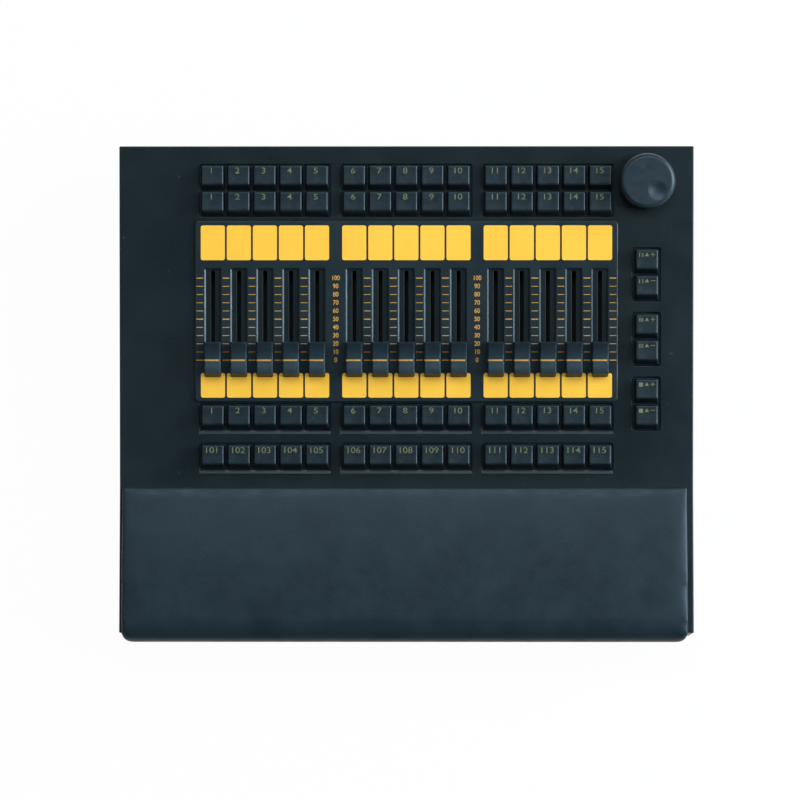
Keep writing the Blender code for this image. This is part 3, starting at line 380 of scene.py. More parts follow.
def rounded_block(name, low, high, corner, axis=Z, segments=6):
    """A block whose four edges along an axis are rounded."""
    piece = block(name, low, high)
    round_edges(piece, corner, segments, lambda edge: runs_along(edge, axis))
    return piece


def apply_modifier(piece, kind, **settings):
    activate(piece)
    modifier = piece.modifiers.new(kind.title(), kind)
    for setting, value in settings.items():
        setattr(modifier, setting, value)
    bpy.ops.object.modifier_apply(modifier=modifier.name)


def joined(name, pieces):
    """Several pieces as one."""
    piece = activate(*pieces)
    if len(pieces) > 1:
        bpy.ops.object.join()
    piece.name = piece.data.name = name
    return piece


def cut(piece, cutter, operation="DIFFERENCE"):
    """Cuts a piece with another one, or adds the other one to it, and does away with the other."""
    apply_modifier(piece, "BOOLEAN", operation=operation, solver="EXACT", object=cutter)
    bpy.data.objects.remove(cutter)


def turn_outwards(piece):
    work(piece, "FACE", everything, bpy.ops.mesh.normals_make_consistent, inside=False)


def shade(piece, degrees=30):
    """Smooth shading over gentle edges only, with large faces left flat."""
    activate(piece)
    bpy.ops.object.shade_smooth_by_angle(angle=math.radians(degrees))
    apply_modifier(piece, "WEIGHTED_NORMAL", weight=100, keep_sharp=True)


def coat(piece, material):
    piece.data.materials.clear()
    piece.data.materials.append(material)


def lay(piece, matrix):
    """A piece is turned and moved, and its place is kept in its mesh."""
    activate(piece)
    piece.matrix_world = matrix @ piece.matrix_world
    bpy.ops.object.transform_apply()
    return piece


def panel_height(y):
    """The height of the slope's upper side."""
    return wheel_pivot.z + (y - wheel_pivot.y) * (up_slope.z / up_slope.y)


def touching(corner):
    """A test for edges that lie at a corner of the folded sheet."""
    return lambda edge: all(math.dist(vertex.co.yz, corner) < TINY for vertex in edge.verts)


sheet_low, sheet_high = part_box("control_panel")
rear_z = panel_height(sheet_high.y)
bend_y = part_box("wrist_rest")[1].y + REST_GAP
bend_z = panel_height(bend_y)
flat_z = bend_z - REST_FALL
fold_path = [
    (sheet_high.y, rear_z - FLANGE),
    (sheet_high.y, rear_z),
    (bend_y, bend_z),
    (sheet_low.y, flat_z),
    (sheet_low.y, flat_z - FLANGE),
]
bpy.ops.mesh.primitive_plane_add(size=1)
control_panel = bpy.context.object
control_panel.name = control_panel.data.name = "control_panel_sheet"
for vertex in control_panel.data.vertices:
    y, z = fold_path[0] if vertex.co.y < 0 else fold_path[1]
    vertex.co = (math.copysign(sheet_high.x, vertex.co.x), y, z)
for start, end in zip(fold_path[1:], fold_path[2:]):
    step = (0, end[0] - start[0], end[1] - start[1])
    work(control_panel, "EDGE", touching(start), draw_out, step=step)
apply_modifier(control_panel, "SOLIDIFY", thickness=SHEET, offset=1, use_even_offset=True)
turn_outwards(control_panel)
folds = {"limit_method": "ANGLE", "angle_limit": math.radians(60)}
apply_modifier(control_panel, "BEVEL", width=FOLD_EDGE, segments=4, **folds)

windows = []
lips = []
for bank in BANKS:
    rows = [panel_box(f"keys_row_{row}_{bank}") for row in (1, 2, 3, 4)]
    middles = [(low.y + high.y) / 2 for low, high in rows]
    left, right = rows[0][0].x + WEB_OVERLAP, rows[0][1].x - WEB_OVERLAP
    windows.append((left, right, middles[1] - ROW_REACH, middles[0] + ROW_REACH))
    for middle in middles[2:]:
        windows.append((left, right, middle - ROW_REACH, middle + ROW_REACH))
        lips.append((left, right, middle - ROW_REACH))
for rear_key in (1, 3, 5):
    rear, front = (panel_box(f"side_key_{number}") for number in (rear_key, rear_key + 1))
    low_y = (front[0].y + front[1].y) / 2 - SIDE_REACH
    high_y = (rear[0].y + rear[1].y) / 2 + SIDE_REACH
    windows.append((rear[0].x + WEB_OVERLAP, rear[1].x - WEB_OVERLAP, low_y, high_y))
punches = [
    rounded_block("window_punch", (left, low_y, -2 * SHEET), (right, high_y, SHEET), WINDOW_CORNER)
    for left, right, low_y, high_y in windows
]

fader_places = []
for number in range(1, FADER_COUNT + 1):
    low, high = panel_box(f"fader_{number:02d}")
    place = Vector(((low.x + high.x) / 2, (low.y + high.y) / 2, 0))
    fader_places.append(place)
    slot = strip(place.x, SLOT_WIDTH, place.y - SLOT_END, place.y + TRAVEL + SLOT_END, -2 * SHEET, SHEET)
    punches.append(rounded_block("slot_punch", *slot, SLOT_CORNER))
punches.append(cylinder(48, SPINDLE_HOLE, 4 * SHEET, (wheel_pivot.x, 0, 0)))
cut(control_panel, lay(joined("panel_punch", punches), panel_place))

presses = []
for left, right, edge_y in lips:
    press = block("lip_press", (left, edge_y - LIP_LENGTH, -LIP_DEPTH), (right, edge_y + TINY, SHEET))
    front = (edge_y - LIP_LENGTH, -LIP_DEPTH)
    work(press, "EDGE", touching(front), bpy.ops.transform.translate, value=(0, 0, LIP_DEPTH))
    presses.append(press)
cut(control_panel, lay(joined("lip_presses", presses), panel_place))
apply_modifier(control_panel, "TRIANGULATE")


def is_punched_edge(edge):
    """An edge between the sheet's top and the wall of an opening."""
    ends = [to_panel @ vertex.co for vertex in edge.verts]
    inside = all(abs(end.x) < sheet_high.x - 2 * FOLD_EDGE for end in ends)
    on_top = all(abs(end.z) < TINY for end in ends)
    return inside and on_top and len(edge.link_faces) == 2 and edge.calc_face_angle() > math.radians(60)


round_edges(control_panel, PUNCHED_EDGE, 2, is_punched_edge)
shade(control_panel, 35)
coat(control_panel, powder_coat("panel_coat", (16, 25, 28), (18, 28, 31), 0.27, 0.33))
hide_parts("control_panel")
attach(control_panel, "case")

# The fader overlay: a raised plate of satin film on sheet, screwed on from below, with a sunk channel
# for each fader. Its rounded rim and the channels' chamfered edges catch the light from the right.
OVERLAY_CORNER = 0.0030
OVERLAY_RIM = 0.0010
CHANNEL_WIDTH = 0.0124
CHANNEL_END = 0.0069
CHANNEL_CORNER = 0.0012
CHANNEL_CHAMFER = (0.0010, 0.0009)
FILM_DUST = (78, 92, 100)

overlay_low, overlay_high = panel_box("fader_overlay")
top = overlay_high.z
overlay = rounded_block("fader_overlay_plate", overlay_low, overlay_high, OVERLAY_CORNER, segments=10)
round_edges(overlay, OVERLAY_RIM, 4, beyond(Z, top - TINY))
narrowing = 1 - 2 * CHANNEL_CHAMFER[0] / CHANNEL_WIDTH
shortening = 1 - 2 * CHANNEL_CHAMFER[0] / (TRAVEL + 2 * CHANNEL_END)
channels = []
for place in fader_places:
    low_y, high_y = place.y - CHANNEL_END, place.y + TRAVEL + CHANNEL_END
    corners = strip(place.x, CHANNEL_WIDTH, low_y, high_y, top - CHANNEL_CHAMFER[1], top)
    channel = rounded_block("channel_cutter", *corners, CHANNEL_CORNER, segments=3)
    work(channel, "FACE", facing(Z, 1), draw_out, step=(0, 0, SHEET))
    work(channel, "FACE", facing(Z, -1), bpy.ops.transform.resize, value=(narrowing, shortening, 1))
    work(channel, "FACE", facing(Z, -1), draw_out, step=(0, 0, -SHEET))
    channels.append(channel)
cut(overlay, joined("channel_cutters", channels))
apply_modifier(overlay, "TRIANGULATE")
shade(overlay, 24)
lay(overlay, panel_place)

shine, grain = (0.02, 4, 0.26, 0.38), (0.0005, 0.00003, 0.5)
satin = {"specular": 0.30, "glint": COOL}
film = mottled("satin_film", (25, 35, 39), (28, 39, 43), (0.06, 3), shine, grain, **satin)
film.speck(film.spread(film.noise(0.003, 2), 0, 0.4, 0.74, 0.82), FILM_DUST)
coat(overlay, film.material)
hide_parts("fader_overlay")
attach(overlay, "case")

# The writing fields and the scale: matt yellow vinyl stuck on the overlay, a long field behind each fader
# and a short one in front. Amber marks at each tenth of the travel are printed between the faders, and
# the figures 0 to 100 between the banks.
FIELD_WIDTH = 0.01765
FIELD_FILM = 0.00012
FIELD_CORNER = 0.0015
UPPER_GAP = 0.0056
UPPER_LENGTH = 0.0254
LOWER_GAP = 0.0031
LOWER_LENGTH = 0.0180
PITCH = 0.01905
MARK_SIZE = (0.0050, 0.00045)
LONG_MARK_RISE = 0.0003
MARK_OFFSET = 0.0006
PRINT_FILM = 0.00005
FIGURE_HEIGHT = 0.0034
FIGURE_SHARE = 0.73
FIGURE_WIDTH = 0.90
FIGURE_WEIGHT = 0.028


def figures(text, height, middle, width=FIGURE_WIDTH, weight=FIGURE_WEIGHT):
    """Figures of a height, centred on a point, as a flat print with its own thickness."""
    bpy.ops.object.text_add(location=middle)
    piece = bpy.context.object
    piece.data.body = text
    piece.data.align_x = piece.data.align_y = "CENTER"
    piece.data.size = height / FIGURE_SHARE
    piece.data.extrude = PRINT_FILM
    piece.data.offset = height * weight
    piece.scale.x = width
    bpy.ops.object.convert(target="MESH")
    bpy.ops.object.transform_apply()
    return bpy.context.object


def printed(name, dark, light):
    """Ink that is laid on a little unevenly."""
    return mottled(name, dark, light, (0.003, 3), (0.001, 2, 0.45, 0.6)).material


shine, grain = (0.004, 3, 0.42, 0.56), (0.0007, 0.00002, 0.4)
vinyl = mottled("yellow_vinyl", (235, 180, 46), (241, 186, 52), (0.05, 2), shine, grain)
ink = printed("amber_print", (168, 122, 48), (190, 144, 62))

behind = fader_places[0].y + TRAVEL + CHANNEL_END + UPPER_GAP
ahead = fader_places[0].y - CHANNEL_END - LOWER_GAP
for name, low_y, high_y in (
    ("upper_fields", behind, behind + UPPER_LENGTH),
    ("lower_fields", ahead - LOWER_LENGTH, ahead),
):
    boxes = [strip(p.x, FIELD_WIDTH, low_y, high_y, top, top + FIELD_FILM) for p in fader_places]
    fields = joined(name, [rounded_block(name, *box, FIELD_CORNER) for box in boxes])
    lay(fields, panel_place)
    coat(fields, vinyl.material)
    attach(fields, "case")

first_x, centre_x, last_x = ([p.x for p in fader_places[start : start + 5]] for start in (0, 5, 10))
columns = [x - PITCH / 2 for x in first_x] + [x + PITCH / 2 for x in centre_x[:-1] + last_x]
zero = fader_places[0].y - MARK_OFFSET
width, length = MARK_SIZE
marks = []
for x in columns:
    for tenth in range(11):
        y = zero + TRAVEL * tenth / 10
        reach = (length + (0 if tenth % 5 else LONG_MARK_RISE)) / 2
        marks.append(block("mark", *strip(x, width, y - reach, y + reach, top, top + 2 * PRINT_FILM)))
scale_marks = joined("scale_marks", marks)
gaps = ((first_x[-1] + centre_x[0]) / 2, (centre_x[-1] + last_x[0]) / 2)
numbers = [
    figures(str(10 * tenth), FIGURE_HEIGHT, (x, zero + TRAVEL * tenth / 10, top + PRINT_FILM))
    for x in gaps
    for tenth in range(11)
]
for piece in (scale_marks, joined("scale_figures", numbers)):
    lay(piece, panel_place)
    coat(piece, ink)
    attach(piece, "case")

# The faders: fifteen moulded caps with a hollow for the finger, bevelled sides, a steep back and a
# sloping front. Each is pressed on a blade that runs through the slot to a carriage under the panel, and
# has an amber line printed across it.
CAP_WIDTH = 0.0121
CAP_HEIGHT = 0.0138
CAP_FOOT = 0.0023
CAP_REACH = 0.0130
CAP_REAR_DRAFT = 0.0009
CAP_FRONT_DRAFT = 0.0032
HOLLOW_RADIUS = 0.0175
HOLLOW_DEPTH = 0.0043
HOLLOW_PLACE = 0.0007
CAP_CHAMFER = 0.0012
BLADE_SIZE = (0.0024, 0.0080)
BLADE_BITE = 0.0010
CARRIAGE_SIZE = (0.0130, 0.0150)
CARRIAGE_DEPTH = 0.0045
CARRIAGE_TOP = -0.0041
LINE_REACH = 0.0006
LINE_RISE = 0.00005


def centred(width, length, bottom, top):
    """The corners of a block that stands round the Z axis."""
    return strip(0, width, -length / 2, length / 2, bottom, top)


def copy_of(piece, name):
    """Another piece of the same shape, with its own mesh."""
    activate(piece)
    bpy.ops.object.duplicate()
    twin = bpy.context.object
    twin.name = twin.data.name = name
    return twin


def copy_at(piece, name, place):
    return lay(copy_of(piece, name), Matrix.Translation(place))


def is_sharp(edge):
    return edge.calc_face_angle(0) > math.radians(40)


def swell(piece, rise):
    """All faces of a piece move outwards."""
    work(piece, "FACE", everything, bpy.ops.transform.shrink_fatten, value=rise)


def moulded(name, dark, light, cloud, shine, specular=0.35):
    """Plastic as it leaves a finely eroded mould, with a faintly cloudy tone."""
    grain = (0.0004, 0.00002, 0.5)
    return mottled(name, dark, light, cloud, shine, grain, specular=specular, glint=COOL).material


cap = block("fader_cap", *centred(CAP_WIDTH, 2 * CAP_REACH, CAP_FOOT, CAP_HEIGHT))
for vertex in cap.data.vertices:
    if vertex.co.z > CAP_FOOT + TINY:
        vertex.co.y += CAP_FRONT_DRAFT if vertex.co.y < 0 else -CAP_REAR_DRAFT
hollow = (0, HOLLOW_PLACE, CAP_HEIGHT - HOLLOW_DEPTH + HOLLOW_RADIUS)
cut(cap, cylinder(144, HOLLOW_RADIUS, 2 * CAP_WIDTH, hollow, (0, math.pi / 2, 0)))
above_foot = beyond(Z, CAP_FOOT + TINY, any)
round_edges(cap, CAP_CHAMFER, 3, lambda edge: is_sharp(edge) and above_foot(edge))
shade(cap)

index_line = copy_of(cap, "index_line")
swell(index_line, LINE_RISE)
low = (-CAP_WIDTH, -MARK_OFFSET - LINE_REACH, CAP_HEIGHT / 2)
high = (CAP_WIDTH / 2 - CAP_CHAMFER, LINE_REACH - MARK_OFFSET, CAP_HEIGHT)
cut(index_line, block("line_band", low, high), "INTERSECT")
cut(cap, block("blade", *centred(*BLADE_SIZE, CARRIAGE_TOP - TINY, CAP_FOOT + BLADE_BITE)), "UNION")
carriage = centred(*CARRIAGE_SIZE, CARRIAGE_TOP - CARRIAGE_DEPTH, CARRIAGE_TOP)
cut(cap, block("carriage", *carriage), "UNION")

shine = (0.003, 4, 0.40, 0.50)
coat(cap, moulded("cap_moulding", (29, 41, 48), (33, 47, 54), (0.008, 3), shine, specular=0.20))
coat(index_line, ink)
for number, place in enumerate(fader_places, 1):
    node = f"fader_{number:02d}"
    fader = lay(copy_at(cap, f"cap_{number:02d}", place), panel_place)
    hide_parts(node)
    line = lay(copy_at(index_line, f"index_line_{number:02d}", place), panel_place)
    for piece in (fader, line):
        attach(piece, node)
for pattern in (cap, index_line):
    bpy.data.objects.remove(pattern)

# The keys: moulded caps with a shallow dish on top, a steep back and a sloping front. Five caps stand on
# one web under the panel, and the six side keys on a web each. Their figures are printed in pale ink.
KEY_BASE = 0.0174
KEY_HEIGHT = 0.0068
KEY_SKIRT = 0.0030
KEY_SIDE_DRAFT = 0.0009
KEY_REAR_DRAFT = 0.0004
KEY_FRONT_DRAFT = 0.0033
KEY_EDGE = 0.0009
KEY_DISH = 0.0005
DISH_CUTS = 7
WEB_LENGTH = 0.01875
WEB_LEVELS = (-0.0040, -0.0025)
KEY_FIGURE = {"height": 0.0044, "width": 1.22, "weight": 0.004}
KEY_FIGURE_MARGIN = 0.0006
KEY_FIGURE_OFFSET = -0.0008
SIGN_MARK = 0.0030
SIGN_MARK_STROKE = 0.0006
SIGN_MARK_STEP = 0.0043
TRIANGLE_RADIUS = 0.0018

key = block("key_cap", *centred(KEY_BASE, KEY_BASE, 0, KEY_HEIGHT))
for vertex in key.data.vertices:
    if vertex.co.z > TINY:
        vertex.co.x -= math.copysign(KEY_SIDE_DRAFT, vertex.co.x)
        vertex.co.y += KEY_FRONT_DRAFT if vertex.co.y < 0 else -KEY_REAR_DRAFT
work(key, "FACE", facing(Z, -1), draw_out, step=(0, 0, -KEY_SKIRT))
key_rear, key_front = KEY_BASE / 2 - KEY_REAR_DRAFT, KEY_FRONT_DRAFT - KEY_BASE / 2
key_middle = (key_rear + key_front) / 2
dish_radius = math.hypot(KEY_BASE / 2 - KEY_SIDE_DRAFT, (key_rear - key_front) / 2)
print_y = key_rear - KEY_EDGE - KEY_FIGURE_MARGIN - KEY_FIGURE["height"] / 2
print_z = KEY_HEIGHT + PRINT_FILM


def dish(piece, x=0, y=0):
    """The top of a key, or a print on it, sinks towards the key's middle, and is moved to its place."""
    for vertex in piece.data.vertices:
        if vertex.co.z > KEY_HEIGHT - TINY:
            off_middle = vertex.co.x**2 + (vertex.co.y - key_middle) ** 2
            vertex.co.z -= KEY_DISH * (1 - off_middle / dish_radius**2)
    return lay(piece, Matrix.Translation((x, y, 0)))


def is_cap_edge(edge):
    """A side edge of a cap, or an edge between its top and a side."""
    return is_sharp(edge) and beyond(Z, -TINY)(edge) and beyond(Z, TINY, any)(edge)


work(key, "FACE", facing(Z, 1), bpy.ops.mesh.subdivide, number_cuts=DISH_CUTS)
dish(key)
round_edges(key, KEY_EDGE, 3, is_cap_edge)


def key_row(name, places, low, high):
    """Caps on one web, as wide as a CAD node."""
    web = block(name, *centred(high.x - low.x, WEB_LENGTH, *WEB_LEVELS))
    cut(web, joined("caps", [copy_at(key, "cap", (x, 0, 0)) for x in places]), "UNION")
    shade(web)
    coat(web, key_moulding)
    return lay(web, Matrix.Translation(((low.x + high.x) / 2, (low.y + high.y) / 2, 0)))


def side_print(name, bars, sign):
    """Upright bars or a square, a triangle, and a sign, in a line across a cap."""
    shapes = []
    for low_x, high_x in bars:
        low = (low_x - SIGN_MARK_STEP, print_y - SIGN_MARK / 2, KEY_HEIGHT)
        high = (high_x - SIGN_MARK_STEP, print_y + SIGN_MARK / 2, print_z + PRINT_FILM)
        shapes.append(block("bar", low, high))
    shapes.append(cylinder(3, TRIANGLE_RADIUS, 2 * PRINT_FILM, (0, print_y, print_z)))
    shapes.append(figures(sign, middle=(SIGN_MARK_STEP, print_y, print_z), **KEY_FIGURE))
    return joined(name, shapes)


def mount_keys(keys, prints, node):
    """Caps and their prints come on the slope in the place of a CAD node."""
    coat(prints, pale_ink)
    for piece in (keys, prints):
        lay(piece, panel_place)
        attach(piece, node)
    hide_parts(node)


shine = (0.004, 4, 0.30, 0.44)
key_moulding = moulded("key_moulding", (22, 32, 37), (25, 36, 41), (0.01, 3), shine)
pale_ink = printed("pale_print", (82, 87, 60), (100, 106, 76))

key_steps = [(number - 2) * PITCH for number in range(5)]
for row_number in (1, 2, 3, 4):
    for bank_number, bank in enumerate(BANKS):
        node = f"keys_row_{row_number}_{bank}"
        low, high = panel_box(node)
        middle = (low + high) / 2
        keys = key_row(f"keys_{row_number}_{bank}", key_steps, low, high)
        first = 5 * bank_number + (101 if row_number == 4 else 1)
        prints = []
        for number, x in enumerate(key_steps, first):
            print_piece = figures(str(number), middle=(KEY_FIGURE_OFFSET, print_y, print_z), **KEY_FIGURE)
            prints.append(dish(print_piece, middle.x + x, middle.y))
        mount_keys(keys, joined(f"key_figures_{row_number}_{bank}", prints), node)
half, stroke = SIGN_MARK / 2, SIGN_MARK_STROKE
side_bars = (
    ((-half, stroke - half), (half - stroke, half)),
    ((-half, stroke - half), (-stroke / 2, stroke / 2), (half - stroke, half)),
    ((-half, half),),
)
for number in range(1, 7):
    node = f"side_key_{number}"
    low, high = panel_box(node)
    middle = (low + high) / 2
    side_key = key_row(f"side_cap_{number}", [0.0], low, high)
    sign = "+" if number % 2 else "\N{MINUS SIGN}"
    prints = side_print(f"side_print_{number}", side_bars[(number - 1) // 2], sign)
    mount_keys(side_key, dish(prints, middle.x, middle.y), node)
bpy.data.objects.remove(key)

# The encoder wheel: a turned and moulded knob, hollow below, with a flat top, a rolled shoulder that
# catches the light all round, and a dimple for the fingertip. Its hub is pressed on the encoder's spindle.
WHEEL_LIFT = 0.0006
WHEEL_HEIGHT = 0.0150
WHEEL_RADIUS = 0.0208
WHEEL_TOP_RADIUS = 0.0170
WHEEL_FOOT_EDGES = (0.0002, 0.0004)
WHEEL_FOOT_RISE = 0.0006
SHOULDER = (0.0034, 0.0055)
WHEEL_WALL = 0.0022
WHEEL_ROOF = 0.0055
HUB_RADIUS = 0.0062
HUB_FOOT = 0.0041
SPINDLE_RADIUS = 0.0030
SPINDLE_FOOT = -0.0110
WHEEL_SIDES = 96
DIMPLE_RADIUS = 0.0062
DIMPLE_DEPTH = 0.0012
DIMPLE_LIP = 0.0009
DIMPLE_OFFSET = 0.0100


def drawn(name, points):
    """A line of edges, drawn from one vertex through points."""
    bpy.ops.mesh.primitive_plane_add(size=SHEET)
    piece = bpy.context.object
    piece.name = piece.data.name = name
    bpy.ops.object.mode_set(mode="EDIT")
    bpy.ops.mesh.select_mode(type="VERT")
    bpy.ops.mesh.merge(type="CENTER")
    bpy.ops.transform.translate(value=points[0])
    for start, end in zip(points, points[1:]):
        draw_out(Vector(end) - Vector(start))
    bpy.ops.object.mode_set(mode="OBJECT")
    return piece


def turned(name, profile, sides):
    """A solid turned round the Z axis from radii and heights, which start and end on the axis."""
    piece = drawn(name, [(radius, 0, height) for radius, height in profile])
    spin = {"steps": sides, "angle": math.tau, "center": (0, 0, 0), "axis": (0, 0, 1)}
    work(piece, "EDGE", everything, bpy.ops.mesh.spin, **spin)
    work(piece, "EDGE", everything, bpy.ops.mesh.remove_doubles, threshold=TINY)
    turn_outwards(piece)
    return piece


def arc(centre, radii, start, end, steps):
    """Points on a quarter or part of an ellipse, by angles in degrees."""
    angles = [math.radians(start + (end - start) * step / steps) for step in range(steps + 1)]
    return [(centre[0] + radii[0] * math.cos(a), centre[1] + radii[1] * math.sin(a)) for a in angles]


wheel_top = WHEEL_LIFT + WHEEL_HEIGHT
inside_top = wheel_top - WHEEL_ROOF
wheel = turned(
    "encoder_wheel_cap",
    [
        (0, wheel_top),
        (WHEEL_TOP_RADIUS * 0.55, wheel_top),
        *arc((WHEEL_TOP_RADIUS, wheel_top - SHOULDER[1]), SHOULDER, 90, 8, 9),
        (WHEEL_RADIUS - WHEEL_FOOT_EDGES[0], WHEEL_LIFT + WHEEL_FOOT_RISE),
        (WHEEL_RADIUS - WHEEL_FOOT_EDGES[1], WHEEL_LIFT),
        (WHEEL_RADIUS - WHEEL_WALL, WHEEL_LIFT),
        (WHEEL_TOP_RADIUS - WHEEL_WALL / 2, inside_top),
        (HUB_RADIUS, inside_top),
        (HUB_RADIUS, HUB_FOOT),
        (SPINDLE_RADIUS, HUB_FOOT),
        (SPINDLE_RADIUS, SPINDLE_FOOT),
        (0, SPINDLE_FOOT),
    ],
    WHEEL_SIDES,
)
ball = (DIMPLE_RADIUS**2 + DIMPLE_DEPTH**2) / (2 * DIMPLE_DEPTH)
rim_angle = math.degrees(math.acos(DIMPLE_RADIUS / ball))
finger = turned(
    "finger",
    [
        *arc((0, wheel_top - DIMPLE_DEPTH + ball), (ball, ball), -90, -rim_angle - 4, 8),
        (DIMPLE_RADIUS + DIMPLE_LIP * 0.5, wheel_top - DIMPLE_LIP * 0.12),
        (DIMPLE_RADIUS + DIMPLE_LIP, wheel_top + TINY),
        (DIMPLE_RADIUS + DIMPLE_LIP, wheel_top + DIMPLE_DEPTH),
        (0, wheel_top + DIMPLE_DEPTH),
    ],
    WHEEL_SIDES // 2,
)
off_centre = DIMPLE_OFFSET / math.sqrt(2)
cut(wheel, lay(finger, Matrix.Translation((off_centre, -off_centre, 0))))
shade(wheel, 40)
lay(wheel, panel_place @ Matrix.Translation((wheel_pivot.x, 0, 0)))

shine = (0.004, 4, 0.32, 0.44)
coat(wheel, moulded("knob_moulding", (26, 37, 44), (30, 42, 50), (0.012, 3), shine))
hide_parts("encoder_wheel")
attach(wheel, "encoder_wheel")

# The wrist rest: soft foam moulded with its own grained skin, crowned along its length, with rounded ends
# and a nose that rolls over the front edge into a skirt. It is stuck on the flat part of the panel.
REST_REAR_RISE = 0.0045
REST_FRONT_RISE = 0.0075
REST_CROWN = 0.0022
REST_NOSE = (0.0120, 0.0105)
REST_SKIRT_TAPER = 0.0014
REST_PLAY = 0.0003
REST_CORNER = 0.0060
REST_VOXEL = 0.0025
CROWN_STEPS = 16
FOAM_PRESSURE = 4.0
FOAM_STIFFNESS = 60.0
FOAM_FRAMES = 20
FOAM_SWELL = 0.0007
GLUED_RISE = 0.0005


def extruded(name, outline, step):
    """A solid whose end is drawn from its corners and which is then drawn out by a step."""
    piece = drawn(name, outline)
    work(piece, "EDGE", everything, bpy.ops.mesh.edge_face_add)
    work(piece, "FACE", everything, draw_out, step=step)
    turn_outwards(piece)
    return piece


rest_low, rest_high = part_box("wrist_rest")
rest_fall = REST_FALL / (bend_y - sheet_low.y)
nose_y, nose_z = rest_low.y + REST_NOSE[0], flat_z + REST_FRONT_RISE
start_z = bend_z + REST_REAR_RISE
rest_path = [(rest_high.y, bend_z - REST_GAP * rest_fall + REST_PLAY)]
for step in range(CROWN_STEPS):
    along = step / CROWN_STEPS
    z = start_z + (nose_z - start_z) * along + REST_CROWN * 4 * along * (1 - along)
    rest_path.append((rest_high.y + (nose_y - rest_high.y) * along, z))
rest_path += arc((nose_y, nose_z - REST_NOSE[1]), REST_NOSE, 90, 180, 8)
rest_path.append((rest_low.y + REST_SKIRT_TAPER, rest_low.z))
rest_path += [(sheet_low.y - REST_PLAY, z) for z in (rest_low.z, flat_z + REST_PLAY)]
outline = [(rest_low.x, y, z) for y, z in rest_path]
wrist_rest = extruded("wrist_rest_pad", outline, (rest_high.x - rest_low.x, 0, 0))
low, high = (rest_low.x, rest_low.y, 0), (rest_high.x, sheet_high.y, sheet_high.z)
cut(wrist_rest, rounded_block("rest_plan", low, high, REST_CORNER, segments=8), "INTERSECT")
apply_modifier(wrist_rest, "REMESH", mode="VOXEL", voxel_size=REST_VOXEL, use_smooth_shade=True)
apply_modifier(wrist_rest, "SMOOTH", factor=0.5, iterations=3)
# The foam swells the skin a little, except where it is stuck to the panel
glued = [
    vertex.index
    for vertex in wrist_rest.data.vertices
    if vertex.co.z < flat_z + (vertex.co.y - sheet_low.y) * rest_fall + GLUED_RISE
]
wrist_rest.vertex_groups.new(name="glued").add(glued, 1.0, "REPLACE")
starts = [vertex.co.copy() for vertex in wrist_rest.data.vertices]
modifier = wrist_rest.modifiers.new("Foam", "CLOTH")
foam = modifier.settings
foam.vertex_group_mass = "glued"
foam.use_pressure = True
foam.uniform_pressure_force = FOAM_PRESSURE
foam.effector_weights.gravity = 0
foam.tension_stiffness = foam.compression_stiffness = FOAM_STIFFNESS
foam.shear_stiffness = foam.bending_stiffness = FOAM_STIFFNESS
modifier.point_cache.frame_end = FOAM_FRAMES
for frame_number in range(1, FOAM_FRAMES + 1):
    bpy.context.scene.frame_set(frame_number)
activate(wrist_rest)
bpy.ops.object.modifier_apply(modifier=modifier.name)
bpy.context.scene.frame_set(1)
for vertex, start in zip(wrist_rest.data.vertices, starts):
    move = vertex.co - start
    if move.length > FOAM_SWELL:
        vertex.co = start + move * (FOAM_SWELL / move.length)
wrist_rest.vertex_groups.clear()
apply_modifier(wrist_rest, "SUBSURF", levels=1, render_levels=1)

skin = Finish("grained_skin", specular=0.26, glint=COOL)
skin.tint(skin.noise(0.035), (22, 33, 40), (27, 40, 47))
skin.polish(skin.noise(0.012), 0.38, 0.50)
skin.bump(skin.cells(0.0011), 0.00006, 0.6)
coat(wrist_rest, skin.material)
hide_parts("wrist_rest")
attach(wrist_rest, "case")

# The feet: four turned rubber pads with a rounded tread, each moulded with a deep well for the screw that
# holds it to the base plate.
FEET = ("foot_front_left", "foot_front_right", "foot_rear_left", "foot_rear_right")
FOOT_TAPER = 0.0012
FOOT_ROUNDING = 0.0008
FOOT_WELL = (0.0036, 0.0032)
FOOT_WELL_EDGE = 0.0004
FOOT_SIDES = 48

foot_low, foot_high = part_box(FEET[0])
foot_radius = (foot_high.x - foot_low.x) / 2
tread = arc((foot_radius - FOOT_TAPER - FOOT_ROUNDING, FOOT_ROUNDING), (FOOT_ROUNDING,) * 2, 0, -90, 5)
foot_profile = [(0, foot_high.z), (foot_radius, foot_high.z), *tread]
foot_profile += [(FOOT_WELL[0] + FOOT_WELL_EDGE, 0), (FOOT_WELL[0], FOOT_WELL_EDGE), FOOT_WELL]
foot_pattern = turned("foot_pattern", foot_profile + [(0, FOOT_WELL[1])], FOOT_SIDES)
shade(foot_pattern)

shine, grain = (0.002, 3, 0.65, 0.85), (0.0006, 0.00004, 0.6)
rubber = mottled("foot_rubber_mix", (20, 22, 24), (31, 34, 36), (0.006, 4), shine, grain, specular=0.3)
coat(foot_pattern, rubber.material)
foot_places = []
for node in FEET:
    low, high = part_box(node)
    foot_places.append((low + high) / 2)
    foot = copy_at(foot_pattern, node + "_pad", (foot_places[-1].x, foot_places[-1].y, 0))
    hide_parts(node)
    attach(foot, "case")
bpy.data.objects.remove(foot_pattern)

